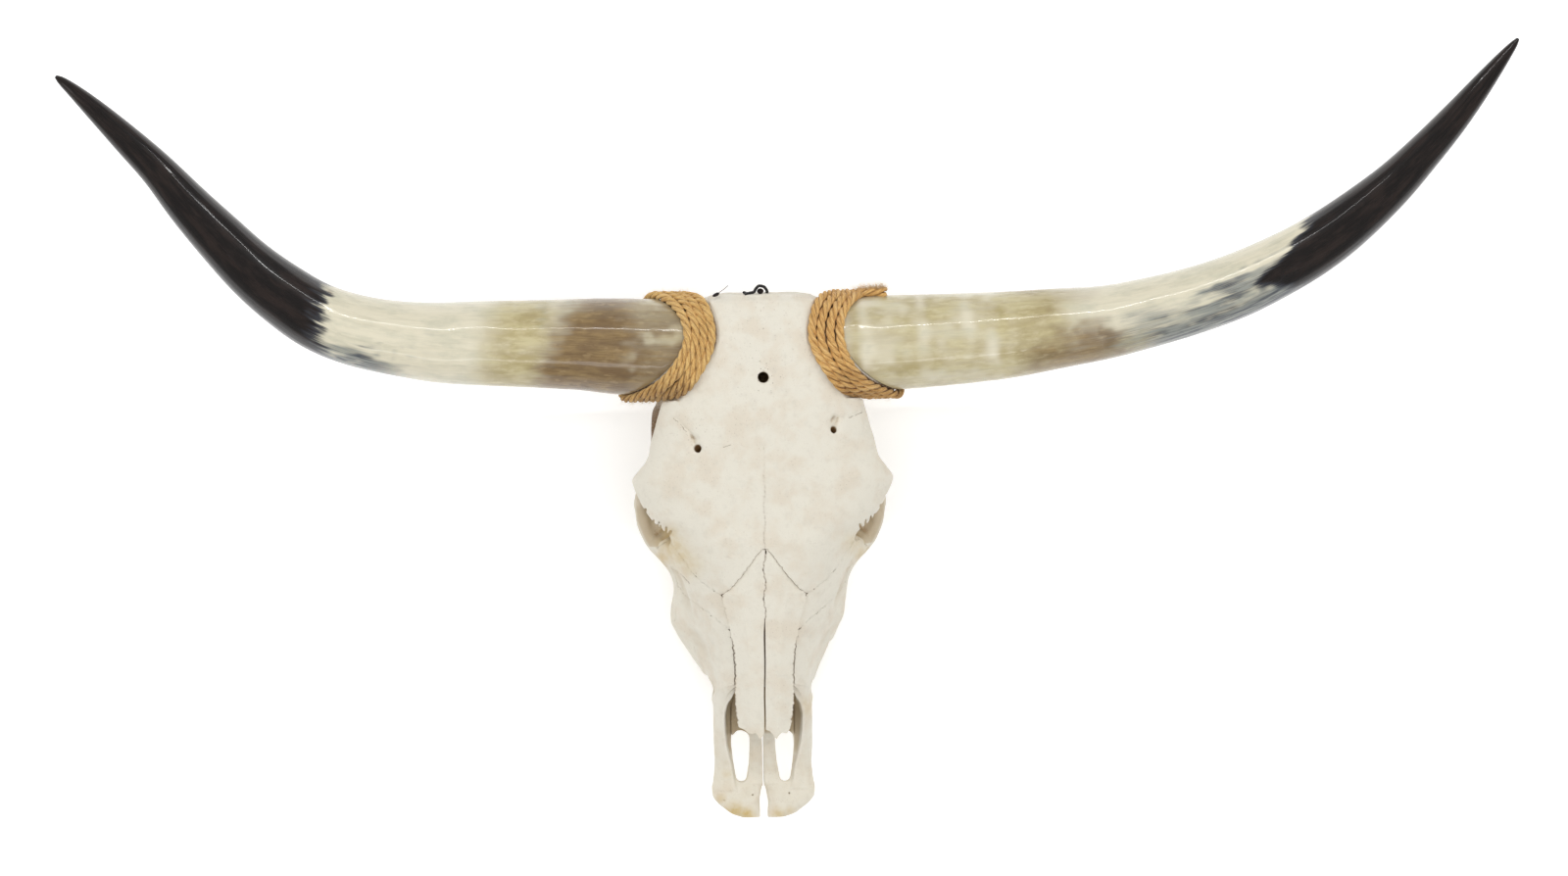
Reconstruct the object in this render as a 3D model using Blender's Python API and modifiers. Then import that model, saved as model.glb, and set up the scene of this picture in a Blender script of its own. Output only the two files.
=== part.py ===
"""A longhorn steer's skull with both horn sheaths, lying face up as it rests.

The skull has no lower jaw.  It is described in its own axes, in millimetres: x is the
distance from the skull's midline, t runs from the crown between the horns towards the
nose, and z is the height above the surface that it lies on.  place() turns those into
Blender's metres, with the nose towards -Y and the forehead up.
"""

import math

import bmesh
import bpy
from mathutils import Euler, Matrix, Vector

# Where the skull's own axes lie, in millimetres
MM = 0.001
MIDLINE_X = -30.0
CROWN_Y = 139.4
GAP = 0.4

# Horn cores and sheaths: the axis leaves the skull at HORN_T, HORN_Z
HORN_T = 49.0
HORN_Z = 150.0
NECK_RADIUS = 46.8
NECK_STEPS = 24
# x, t, z and radius along each sheath, from inside the base to the tip
LEFT_HORN = [
    (-60, 49, 150, 46.6), (-128, 47, 150, 46.4), (-171, 44, 150, 43.8),
    (-256, 42, 150, 40.6), (-340, 36, 150, 36.6), (-421, 15, 154, 32.4),
    (-487, -33, 163, 27.2), (-543, -92, 176, 21.2), (-596, -150, 196, 14.6),
    (-634, -188, 217, 8.6), (-655.5, -209, 233, 3.0),
]
RIGHT_HORN = [
    (60, 49, 150, 46.6), (145, 46, 150, 45.4), (191, 44, 150, 43.6),
    (282, 36, 150, 39.0), (373, 22, 151, 34.2), (460, -3, 158, 31.4),
    (539, -42, 175, 27.6), (606, -96, 200, 21.0), (662, -159, 231, 13.8),
    (698, -205, 246, 7.2), (715.5, -228, 250, 3.0),
]

# Rope wound round the neck of each horn, next to the sheath's edge
ROPE_TURNS = 4
ROPE_DIAMETER = 7.4
ROPE_BULGE = 8.0

# Teeth: the chewing plane rises from the last molar towards the nose
TOOTH_ROW_START = 250.0
CHEWING_SLOPE = 0.1228
CROWN_HEIGHT = 22.0
# Length, middle x and width of each cheek tooth, from the last molar forwards
CHEEK_TEETH = [
    (29, 54.5, 22), (26, 57.0, 24), (23, 57.0, 24), (18, 53.0, 20), (17, 48.5, 17.5), (15, 44.0, 15),
]
TOOTH_WAIST = 0.8
RESTING_FLAT = 8.0
SOCKET_FLARE = 0.86

# Voxels that blend a bone's shapes into one skin, and the triangles kept afterwards
BONE_VOXEL = 2.6
BONE_TRIANGLES = 2300
SNOUT_VOXEL = 1.3
SNOUT_TRIANGLES = 760

# Forehead: t, height on the midline, half width, height at the side edge, thickness
FOREHEAD = [
    (1.5, 193, 50, 172, 30), (8, 198.5, 56, 178, 45), (30, 198.5, 63, 186, 60),
    (60, 196.5, 74, 184, 60), (100, 193, 95, 172, 40), (118, 190.5, 100.5, 167, 30),
    (136, 187, 105.5, 162, 26), (153, 183.5, 112, 157, 24), (167, 180.5, 119.5, 152, 22),
    (178, 178.5, 125.5, 149, 20), (187, 176.5, 125, 147, 19), (200, 173.5, 118, 144, 19),
    (212, 171, 106, 142, 20), (221, 169, 95, 140, 24), (229, 167, 88.5, 138, 34),
    (246, 162.5, 83, 131, 60), (262, 158, 78, 127, 60),
]
# Braincase and back of the head: height, rear t, front t, half width
BRAINCASE = [
    (190, 2, 60, 52), (175, 1, 120, 56), (155, 4, 160, 60), (130, 11, 170, 70),
    (110, 18, 172, 80), (92, 24, 168, 90), (78, 28, 150, 88), (66, 32, 140, 62), (58, 36, 130, 30),
]
# Face: t, midline height, shoulder x and z, widest x and z, tooth edge x and z, roof of mouth
FACE = [
    (232, 165, 87, 136, 112, 88, 64, 34, 52), (250, 161, 82, 131, 97, 86, 66, 24, 48),
    (270, 156, 75, 127, 87.5, 82, 69, 25, 46), (300, 147, 62, 121, 83, 78, 70, 28.5, 46),
    (320, 141.5, 54, 117, 79, 76, 68, 31, 47), (338, 136, 47, 113, 69, 72, 62, 33, 48),
    (366, 128, 42, 108, 54.5, 68, 51, 36.5, 50), (390, 121, 40, 102, 48.5, 64, 44, 44, 51),
    (404, 117, 39, 97, 48, 64, 43, 49, 51), (425, 110, 38, 86, 47, 62, 42, 51, 51),
]
# Nasal bones: t, outer half width, height at the midline and at the outer edge, thickness
NASALS = [
    (243.5, 3.4, 163.4, 163, 6), (258, 17, 159.6, 156.5, 6), (270, 31, 156.2, 149.5, 6),
    (282, 42.5, 152.6, 142, 6), (297, 39, 148.3, 138.5, 5.5), (316, 34.5, 142.6, 134.5, 5.5),
    (337, 31.5, 136.4, 129.5, 5), (360, 30, 129.4, 123, 5), (380, 30, 123.5, 116.8, 4.5),
    (400, 28, 117.4, 110.8, 4.2), (414, 26, 113, 107, 4), (422, 19, 110.4, 106, 3.6),
    (430, 10, 108, 106.4, 3),
]
SEAM = 0.9

# Premaxillae: t, outer x and z, rim x and z, inner x and z, underside z of the arm
SNOUT_ARM = [
    (372, 50, 66, 38.5, 104, 33, 62, 50), (400, 48.5, 65, 40, 97, 31.5, 58, 51),
    (430, 48.8, 63, 42, 84, 31.5, 57, 51), (450, 48, 61.5, 42, 74, 31, 57, 51.5),
    (468, 46.5, 61, 41, 68, 31.5, 58, 53), (482, 48, 61, 40, 67, 30, 60, 54),
]
# x, t, z and radius along the inner prong
SNOUT_PRONG = [(7.4, 426, 55, 4.6), (7.4, 455, 59, 5.6), (8.4, 480, 61, 6), (15, 494, 61, 6.5)]
# The snout bones end on a slanting suture: t at SUTURE_Z, and t gained per mm of height
SUTURE_T = 394.0
SUTURE_Z = 64.0
SUTURE_LEAN = -0.35
# The maxilla's floor reaches between the snout bones, out to PALATE_X and PALATE_T
PALATE_X = 30.7
PALATE_T = 424.5
# Body of a premaxilla: t, inner x, outer x, top z and underside z
SNOUT_BODY = [
    (466, 33, 45, 66, 54), (475, 22, 47.5, 66, 54), (484, 4.5, 49, 66.5, 55.5), (494, 5, 46, 66, 56),
    (503, 5.5, 36.5, 64.5, 57), (510.2, 6.5, 24, 63, 58),
]

# Hanger at the crown: a screw, with x, t and z of its head and point, and a bent wire
SCREW_HEAD = (-1.5, -3.2, 190.0)
SCREW_POINT = (-1.5, 10.0, 174.0)
SCREW_HEAD_RADIUS = 3.2
SCREW_RADIUS = 1.5
WIRE_RADIUS = 1.1
WIRE_ROUTE = [
    (-20, 0.2, 192), (-14, -1.6, 190.5), (-9, -3.0, 189.6), (-6.2, -6.2, 189), (-2.5, -8.6, 188.4),
    (1.8, -7.6, 188), (4.4, -4.6, 187.2), (5.4, -2.4, 184), (4.6, -1.6, 178), (1.0, -1.4, 173),
    (-5, -1.2, 171), (-13, -1.2, 174), (-18.5, -1.6, 181), (-20.5, -1.9, 188),
]


def place(x, t, z):
    """Return the Blender point of a place in the skull's own axes."""
    return Vector((x, -t, z)) * MM


def collection(name, hidden=False):
    """Make a collection, hidden if it only holds construction shapes."""
    made = bpy.data.collections.new(name)
    bpy.context.scene.collection.children.link(made)
    made.hide_render = hidden
    return made


def keep(shape, name):
    """Turn a bmesh into a construction object and return it."""
    bmesh.ops.recalc_face_normals(shape, faces=shape.faces)
    mesh = bpy.data.meshes.new(name)
    shape.to_mesh(mesh)
    shape.free()
    piece = bpy.data.objects.new(name, mesh)
    SHAPES.objects.link(piece)
    piece.hide_render = True
    piece.display_type = "WIRE"
    return piece


def settle(piece):
    """Replace a piece's mesh by the result of its modifiers."""
    graph = bpy.context.evaluated_depsgraph_get()
    mesh = bpy.data.meshes.new_from_object(piece.evaluated_get(graph))
    piece.modifiers.clear()
    piece.data = mesh
    return piece


def lump(centre, radii, turn=(0, 0, 0), detail=12):
    """An ellipsoid, from its centre, its radii along x, t and z, and its turn in degrees."""
    shape = bmesh.new()
    bmesh.ops.create_uvsphere(shape, u_segments=detail * 3 // 2, v_segments=detail, radius=MM)
    size = Matrix.Diagonal((*radii, 1))
    spin = Euler([math.radians(angle) for angle in turn]).to_matrix().to_4x4()
    move = Matrix.Translation(place(*centre)) @ spin @ size
    bmesh.ops.transform(shape, matrix=move, verts=shape.verts)
    return keep(shape, "lump")


def rod(start, end, radius_start, radius_end, sides=16):
    """A straight cone or cylinder between two places."""
    start, end = place(*start), place(*end)
    along = end - start
    shape = bmesh.new()
    bmesh.ops.create_cone(
        shape, cap_ends=True, segments=sides, depth=along.length,
        radius1=radius_start * MM, radius2=radius_end * MM,
    )
    aim = along.to_track_quat("Z", "Y").to_matrix().to_4x4()
    bmesh.ops.transform(shape, matrix=Matrix.Translation((start + end) / 2) @ aim, verts=shape.verts)
    return keep(shape, "rod")


def limb(points, side=1, steps=4, roundness=2):
    """A smooth tapering limb through points of x, t, z and radius."""
    curve = bpy.data.curves.new("limb", "CURVE")
    curve.dimensions = "3D"
    curve.bevel_depth = MM
    curve.bevel_resolution = roundness
    curve.resolution_u = steps
    curve.use_fill_caps = True
    spline = curve.splines.new("BEZIER")
    spline.bezier_points.add(len(points) - 1)
    for knot, (x, t, z, radius) in zip(spline.bezier_points, points):
        knot.co = place(side * x, t, z)
        knot.radius = radius
        knot.handle_left_type = knot.handle_right_type = "AUTO"
    guide = bpy.data.objects.new("limb", curve)
    SHAPES.objects.link(guide)
    graph = bpy.context.evaluated_depsgraph_get()
    mesh = bpy.data.meshes.new_from_object(guide.evaluated_get(graph))
    bpy.data.objects.remove(guide)
    shape = bmesh.new()
    shape.from_mesh(mesh)
    bmesh.ops.remove_doubles(shape, verts=shape.verts, dist=0.00002)
    return keep(shape, "limb")


def loft(rings):
    """A closed body through rings of places with the same number of points each."""
    shape = bmesh.new()
    rows = [[shape.verts.new(place(*point)) for point in ring] for ring in rings]
    for row, following in zip(rows, rows[1:]):
        for i in range(len(row)):
            j = (i + 1) % len(row)
            shape.faces.new((row[i], row[j], following[j], following[i]))
    shape.faces.new(rows[0])
    shape.faces.new(reversed(rows[-1]))
    bmesh.ops.triangulate(shape, faces=shape.faces)
    return keep(shape, "loft")


def block(low, high):
    """A box between two corners."""
    return loft([
        [(low[0], t, low[2]), (high[0], t, low[2]), (high[0], t, high[2]), (low[0], t, high[2])]
        for t in (low[1], high[1])
    ])


def both_sides(half):
    """Close a ring whose half runs from the midline round one side to the midline."""
    return half + [(-x, t, z) for x, t, z in reversed(half) if x > 0]


def blend(pieces, voxel, triangles, smooth_steps):
    """Melt overlapping shapes into one skin, smooth it and thin its triangles."""
    shape = bmesh.new()
    for piece in pieces:
        shape.from_mesh(piece.data)
        bpy.data.objects.remove(piece)
    body = keep(shape, "body")
    skin = body.modifiers.new("One skin", "REMESH")
    skin.mode = "VOXEL"
    skin.voxel_size = voxel * MM
    soft = body.modifiers.new("Soften", "SMOOTH")
    soft.factor = 0.5
    soft.iterations = smooth_steps
    settle(body)
    count = sum(len(face.vertices) - 2 for face in body.data.polygons)
    thin = body.modifiers.new("Thin out", "DECIMATE")
    thin.ratio = triangles / count
    thin.use_collapse_triangulate = True
    return settle(body)


def carve(body, cutters):
    """Cut shapes out of a body, one after another."""
    for cutter in cutters:
        cut = body.modifiers.new("Cut", "BOOLEAN")
        cut.object = cutter
        cut.solver = "EXACT"
        settle(body)
        bpy.data.objects.remove(cutter)
    return body


def tidy(piece):
    """Weld slivers that the cuts leave and drop crumbs smaller than the body."""
    shape = bmesh.new()
    shape.from_mesh(piece.data)
    bmesh.ops.dissolve_limit(
        shape, angle_limit=math.radians(0.5), verts=shape.verts, edges=shape.edges,
    )
    bmesh.ops.triangulate(shape, faces=shape.faces)
    bmesh.ops.remove_doubles(shape, verts=shape.verts, dist=0.00002)
    bmesh.ops.dissolve_degenerate(shape, edges=shape.edges, dist=0.00001)
    bmesh.ops.triangulate(shape, faces=shape.faces)
    shape.to_mesh(piece.data)
    shape.free()
    return piece


def bodies(piece):
    """Return the vertex lists of the separate bodies of a mesh, largest first."""
    shape = bmesh.new()
    shape.from_mesh(piece.data)
    shape.verts.ensure_lookup_table()
    found, seen = [], set()
    for start in shape.verts:
        if start.index in seen:
            continue
        group, waiting = [], [start]
        seen.add(start.index)
        while waiting:
            vert = waiting.pop()
            group.append(vert.index)
            for edge in vert.link_edges:
                other = edge.other_vert(vert)
                if other.index not in seen:
                    seen.add(other.index)
                    waiting.append(other)
        found.append(group)
    shape.free()
    return sorted(found, key=len, reverse=True)


def take_body(piece, test):
    """Copy the largest body of a mesh whose middle passes a test on x, y and z."""
    for group in bodies(piece):
        middle = sum((piece.data.vertices[i].co for i in group), Vector()) / len(group)
        if not test(middle / MM):
            continue
        shape = bmesh.new()
        shape.from_mesh(piece.data)
        shape.verts.ensure_lookup_table()
        wanted = set(group)
        spare = [vert for vert in shape.verts if vert.index not in wanted]
        bmesh.ops.delete(shape, geom=spare, context="VERTS")
        return keep(shape, "body")
    raise ValueError("no body passes the test")


def sheath_edge(angle):
    """Distance from the midline of the sheath's edge; 90 degrees is the front of the horn."""
    turn = math.radians(angle)
    return 109.75 - 24 * math.sin(turn) - 13.5 * math.cos(turn) + 8.75 * math.cos(2 * turn)


def neck_point(side, angle, distance, radius):
    """A place round a horn's neck, from its angle, distance from the midline and radius."""
    turn = math.radians(angle)
    return (side * distance, HORN_T - radius * math.cos(turn), HORN_Z + radius * math.sin(turn))


def wrap_width(angle):
    """Width of the rope winding round the neck."""
    turn = math.radians(angle)
    return 35 + 5 * math.cos(turn) - 2.5 * math.sin(turn)


def wrap_radius(angle, across):
    """Inner radius of the winding; it rises where the neck joins the forehead."""
    turn = math.radians(angle)
    lift = math.sin(2 * turn) ** 2 if math.sin(turn) > 0 else 0
    return NECK_RADIUS + ROPE_BULGE * lift * across


def wrap_ring(side, profile):
    """A ring-shaped body round a neck; profile gives (across, height) pairs for an angle."""
    shape = bmesh.new()
    rows = []
    for step in range(NECK_STEPS):
        angle = 360 * step / NECK_STEPS
        row = []
        for across, height in profile:
            distance = sheath_edge(angle) - GAP - across * wrap_width(angle)
            radius = wrap_radius(angle, min(max(across, 0), 1)) + height
            row.append(shape.verts.new(place(*neck_point(side, angle, distance, radius))))
        rows.append(row)
    for row, following in zip(rows, rows[1:] + rows[:1]):
        for i in range(len(row)):
            j = (i + 1) % len(row)
            shape.faces.new((row[i], row[j], following[j], following[i]))
    bmesh.ops.triangulate(shape, faces=shape.faces, quad_method="FIXED")
    return keep(shape, "ring")


def neck_block(side, offset, reach):
    """A body from the sheath's edge surface, moved by offset, out to the distance reach."""
    wide = 75.0
    near, far = [], []
    for step in range(NECK_STEPS):
        angle = 360 * step / NECK_STEPS
        spread = (sheath_edge(angle) - 105) * wide / NECK_RADIUS
        near.append(neck_point(side, angle, 105 + spread + offset, wide))
        far.append(neck_point(side, angle, reach, wide))
    shape = bmesh.new()
    rims = [[shape.verts.new(place(*point)) for point in ring] for ring in (near, far)]
    hubs = [shape.verts.new(place(side * x, HORN_T, HORN_Z)) for x in (105 + offset, reach)]
    for i in range(NECK_STEPS):
        j = (i + 1) % NECK_STEPS
        shape.faces.new((rims[0][i], rims[0][j], rims[1][j], rims[1][i]))
        shape.faces.new((rims[0][j], rims[0][i], hubs[0]))
        shape.faces.new((rims[1][i], rims[1][j], hubs[1]))
    bmesh.ops.triangulate(shape, faces=shape.faces)
    return keep(shape, "neck block")


def chewing_height(t):
    """Height of the chewing plane, level under the back of the last molar."""
    return max(0.0, (t - TOOTH_ROW_START - RESTING_FLAT) * CHEWING_SLOPE)


def tooth_row(side, margin, top_gap, depth, flare=0.0):
    """The cheek teeth of one side; margin and flare widen the row to cut their sockets."""
    rings = []
    start = TOOTH_ROW_START
    for length, middle, width in CHEEK_TEETH:
        for along, part in ((0.04, TOOTH_WAIST), (0.25, 1), (0.75, 1), (0.96, TOOTH_WAIST)):
            t = start + length * along
            half = width * part / 2 + margin
            low = chewing_height(t) - depth
            high = chewing_height(t) + CROWN_HEIGHT + top_gap
            rings.append([
                (side * (middle - half), t, low + 2), (side * (middle - half + 3), t, low),
                (side * (middle + half - 3), t, low), (side * (middle + half + flare), t, low + 2),
                (side * (middle + half), t, high), (side * (middle - half), t, high),
            ])
        start += length
    return loft(rings)


def forehead_ring(t, middle, half, edge, thick):
    """One cross-section of the forehead."""
    drop = middle - edge
    return both_sides([
        (0, t, middle), (0.5 * half, t, middle - 0.06 * drop), (0.82 * half, t, middle - 0.4 * drop),
        (half, t, edge), (half - 3, t, edge - 10), (0.75 * half, t, edge - thick), (0, t, edge - thick),
    ])


def braincase_ring(z, rear, front, half):
    """One level of the braincase."""
    span = front - rear
    return both_sides([
        (0, rear, z), (0.75 * half, rear + 2, z), (half, rear + 0.14 * span, z),
        (0.97 * half, rear + 0.5 * span, z), (0.72 * half, rear + 0.82 * span, z),
        (0.45 * half, front, z), (0, front, z),
    ])


def face_ring(t, middle, shoulder, shoulder_z, wide, wide_z, tooth, tooth_z, roof):
    """One cross-section of the face, hollow below between the tooth rows."""
    arch = 0.08 + 0.24 * min(1, max(0, (t - 240) / 45))
    return both_sides([
        (0, t, middle), (0.55 * shoulder, t, middle - arch * (middle - shoulder_z)),
        (shoulder, t, shoulder_z), (0.5 * (shoulder + wide), t, 0.52 * shoulder_z + 0.48 * wide_z),
        (wide, t, wide_z), (wide - 5, t, wide_z - 11), (tooth + 1, t, tooth_z + 9),
        (tooth, t, tooth_z), (tooth - 25, t, tooth_z), (tooth - 29, t, roof - 6), (0, t, roof),
    ])


def nasal_ring(side, row, inner, spread, lift, extra):
    """One cross-section of a nasal bone, or of the bed that is cut for it."""
    t, half, middle, edge, thick = row
    arch = middle + 0.35 * (edge - middle) * min(1, half / 20)
    return [
        (side * inner, t, middle + lift), (side * 0.55 * (half + inner), t, arch + 0.8 + lift),
        (side * (half + spread), t, edge + lift), (side * (half + spread), t, edge - thick - extra),
        (side * 0.55 * (half + inner), t, arch + 0.8 - thick - extra), (side * inner, t, middle - thick - extra),
    ]


def skull_shapes():
    """The overlapping shapes that the skull's bone is blended from."""
    shapes = [
        # forehead, braincase and face, then the base at the back, the crest's knob,
        # the floor under the brain and the wall between the eye sockets
        loft([forehead_ring(*row) for row in FOREHEAD]),
        loft([braincase_ring(*row) for row in BRAINCASE]),
        loft([face_ring(*row) for row in FACE]),
        lump((0, 62, 76), (66, 38, 22)),
        lump((0, 8, 166), (14, 9, 14)),
        limb([(0, 30, 58, 12), (0, 80, 66, 15), (0, 150, 70, 11), (0, 230, 78, 9)]),
        lump((0, 215, 118), (44, 48, 42)),
    ]
    for side in (-1, 1):
        shapes += [
            # horn neck, knuckle for the neck joint, process that the back rests on
            limb([(20, 49, 150, 44), (70, 49, 150, 47), (140, 47, 150, 47)], side, 3, 4),
            lump((side * 28, 33, 50), (15, 18, 25), (-18, side * 14, 0)),
            limb([(62, 46, 88, 15), (60, 52, 52, 11), (57, 60, 22, 8), (56, 63, -4, 7.5)], side),
            # ear region, ear bulla, jaw joint
            lump((side * 84, 70, 84), (17, 32, 22)),
            lump((side * 40, 100, 52), (12, 18, 21), (0, side * 12, 0)),
            lump((side * 80, 128, 82), (26, 12, 9)),
            # bar behind the eye, floor of its socket, cheek arch and the ridge in front of it
            limb([(121, 183, 144, 7), (119, 186, 122, 7), (117, 190, 102, 8), (113, 197, 86, 9)], side),
            lump((side * 96, 228, 82), (24, 34, 11), (0, 0, side * -14)),
            limb([
                (74, 277, 82, 12), (88, 254, 83, 10.5), (99, 241, 83, 9.5), (107, 226, 83, 9),
                (111.5, 208, 83, 9), (110, 180, 84, 8), (101, 145, 84, 8), (90, 122, 84, 9),
            ], side),
            lump((side * 92, 246, 76), (8, 26, 10), (0, 0, side * -26)),
            # hooked plates behind the palate
            limb([(22, 180, 74, 5), (22, 196, 56, 4.5), (22, 194, 34, 3.6), (24, 186, 28, 3.4)], side),
            limb([(26, 236, 70, 7), (25, 222, 56, 5), (23, 206, 46, 4), (22, 192, 36, 3.6)], side),
        ]
    return shapes


def skull_hollows():
    """What is cut out of the skull: sockets, passages and the holes that show."""
    hollows = [
        # spinal canal, brain cavity, the hanger's screw hole, the level underside,
        # the hole in the forehead, throat and nose
        rod((0, 18, 72), (0, 66, 86), 19.5, 16.5),
        lump((0, 102, 112), (38, 52, 32), (0, 0, 0), 8),
        rod(SCREW_HEAD, SCREW_POINT, SCREW_RADIUS + GAP, SCREW_RADIUS + GAP, 10),
        rod((0, 150, -60), (0, 150, 0), 400, 400, 4),
        rod((0, 79, 260), (0, 79, 150), 5.4, 5.4, 12),
        loft([
            [(x * width, t, z0 + h) for x, h in ((-1, 8), (-0.6, 0), (0.6, 0), (1, 8), (0.8, tall), (-0.8, tall))]
            for t, width, z0, tall in ((192, 15, 44, 30), (240, 17, 50, 30), (300, 22, 56, 40))
        ]),
        loft([
            [(x * width, t, z0 + h) for x, h in ((-1, 12), (-0.7, 0), (0.7, 0), (1, 12), (0.9, tall), (-0.9, tall))]
            for t, width, z0, tall in ((292, 24, 58, 66), (340, 30, 58, 62), (385, 34, 58, 54), (440, 37, 60, 60))
        ]),
    ]
    for side in (-1, 1):
        hollows += [
            # eye socket, side of the braincase above and below the cheek arch,
            # vessel hole over the eye, nerve hole in the jaw, ear opening
            lump((side * 104, 217, 112), (34, 27.5, 25), (6, 0, side * 10), 10),
            lump((side * 106, 146, 118), (38, 33, 38), (0, 0, side * 12), 9),
            lump((side * 84, 158, 66), (26, 24, 26), (0, 0, 0), 8),
            rod((side * 64, 144 if side < 0 else 128, 200), (side * 60, 147 if side < 0 else 131, 172), 3.6, 3, 8),
            rod((side * 70, 375, 74), (side * 38, 385, 66), 5, 4, 8),
            rod((side * 108, 88, 84), (side * 70, 88, 86), 5, 4, 8),
        ]
    return hollows


def snout_arm_ring(side, t, outer, outer_z, rim, rim_z, inner, inner_z, under):
    """One cross-section of a premaxilla's outer arm."""
    return [
        (side * x, t, z) for x, z in (
            (outer, outer_z), ((outer + rim) / 2 + 2, (outer_z + rim_z) / 2), (rim + 1, rim_z),
            (rim - 1.5, rim_z - 1), ((rim + inner) / 2 + 1, (rim_z + inner_z) / 2), (inner, inner_z),
            (inner + 2, under), (outer - 6, under),
        )
    ]


def snout_shapes():
    """The overlapping shapes of both premaxillae."""
    shapes = []
    for side in (-1, 1):
        shapes += [
            loft([snout_arm_ring(side, *row) for row in SNOUT_ARM]),
            limb(SNOUT_PRONG, side),
            loft([
                [(side * x, t, z) for x, z in (
                    (inner, low + 1), (inner, high - 1), ((inner + outer) / 2, high), (outer, high - 3),
                    (outer, low + 3), ((inner + outer) / 2, low),
                )]
                for t, inner, outer, high, low in SNOUT_BODY
            ]),
        ]
    return shapes


def slanting_slab(near, far, start, end):
    """A block on the suture's slant, between two x and from start to end past the suture."""
    def t_at(z):
        return SUTURE_T + (z - SUTURE_Z) * SUTURE_LEAN
    return loft([
        [(x, t_at(z) + side, z) for x, z in ((near, 0), (far, 0), (far, 140), (near, 140))]
        for side in (start, end)
    ])


def nasal_bed():
    """What is cut from the face for the nasal bones to lie in."""
    rows = [(NASALS[0][0] - GAP, *NASALS[0][1:])] + NASALS[1:]
    return [
        loft([nasal_ring(side, row, -1.5, GAP, 25, GAP) for row in rows]) for side in (-1, 1)
    ]


def name_piece(shape, name, slot, colour, roughness, metallic=0.0):
    """Turn a finished construction shape into a named part of the model."""
    piece = tidy(shape)
    piece.name = name
    piece.data.name = name
    piece.hide_render = False
    piece.display_type = "TEXTURED"
    SHAPES.objects.unlink(piece)
    MODEL.objects.link(piece)
    material = bpy.data.materials.new(slot)
    material.use_nodes = True
    surface = material.node_tree.nodes["Principled BSDF"]
    surface.inputs["Base Color"].default_value = (*colour, 1)
    surface.inputs["Roughness"].default_value = roughness
    surface.inputs["Metallic"].default_value = metallic
    piece.data.materials.clear()
    piece.data.materials.append(material)
    piece.data.shade_smooth()
    piece.data.set_sharp_from_angle(angle=math.radians(40))
    piece.parent = ROOT
    return piece


def make_bones():
    """The skull's main bone, the two premaxillae and the two nasal bones."""
    bone = (0.79, 0.73, 0.63)
    skull = blend(skull_shapes(), BONE_VOXEL, BONE_TRIANGLES, 4)
    cutters = skull_hollows() + nasal_bed() + [block((-90, PALATE_T, 20), (90, 460, 130))]
    for side in (-1, 1):
        cutters += [
            slanting_slab(side * PALATE_X, side * 90, 0, 80),
            neck_block(side, 0, 220),
            wrap_ring(side, [
                (0, -GAP), (-0.2, -GAP), (-0.2, 14), (1.03, 14), (1.03, -GAP), (1, -GAP),
            ]),
            tooth_row(side, GAP, GAP, 30, SOCKET_FLARE),
        ]
    carve(skull, cutters)
    name_piece(take_body(skull, lambda middle: True), "cranium", "bone", bone, 0.7)
    bpy.data.objects.remove(skull)

    snout = blend(snout_shapes(), SNOUT_VOXEL, SNOUT_TRIANGLES, 2)
    carve(snout, [
        block((-SEAM, 380, 20), (SEAM, 540, 130)), slanting_slab(-90, 90, -80, GAP),
        block((-PALATE_X - GAP, 360, 20), (PALATE_X + GAP, PALATE_T + GAP, 130)),
    ])
    for side, name in ((-1, "premaxilla_left"), (1, "premaxilla_right")):
        body = take_body(snout, lambda middle, side=side: middle.x * side > 3)
        name_piece(body, name, "bone_snout_" + name[11:], bone, 0.7)
    bpy.data.objects.remove(snout)

    for side, name in ((-1, "nasal_left"), (1, "nasal_right")):
        nasal = loft([nasal_ring(side, row, SEAM, 0, 0, 0) for row in NASALS])
        name_piece(nasal, name, "bone_" + name, bone, 0.65)


def make_teeth():
    """The two rows of cheek teeth."""
    for side, name in ((-1, "teeth_left"), (1, "teeth_right")):
        name_piece(tooth_row(side, 0, 0, 0), name, name, (0.66, 0.57, 0.42), 0.4)


def make_horns():
    """The two horn sheaths, each cut at its base along the sheath's edge."""
    for side, name, points, colour in (
        (-1, "horn_left", LEFT_HORN, (0.36, 0.31, 0.21)),
        (1, "horn_right", RIGHT_HORN, (0.48, 0.42, 0.30)),
    ):
        horn = limb(points, 1, 3, 3)
        carve(horn, [neck_block(side, GAP, 20)])
        name_piece(horn, name, name, colour, 0.18)


def make_ropes():
    """The rope wound round each horn's neck, as one ridged ring a side."""
    profile = [(0, 0), (0, 0.5 * ROPE_DIAMETER)]
    for turn in range(ROPE_TURNS):
        profile.append(((turn + 0.5) / ROPE_TURNS, ROPE_DIAMETER))
        profile.append(((turn + 1) / ROPE_TURNS, 0.62 * ROPE_DIAMETER))
    profile.append((1, 0))
    for side, name in ((-1, "rope_left"), (1, "rope_right")):
        name_piece(wrap_ring(side, profile), name, name, (0.50, 0.30, 0.12), 0.85)


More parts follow.
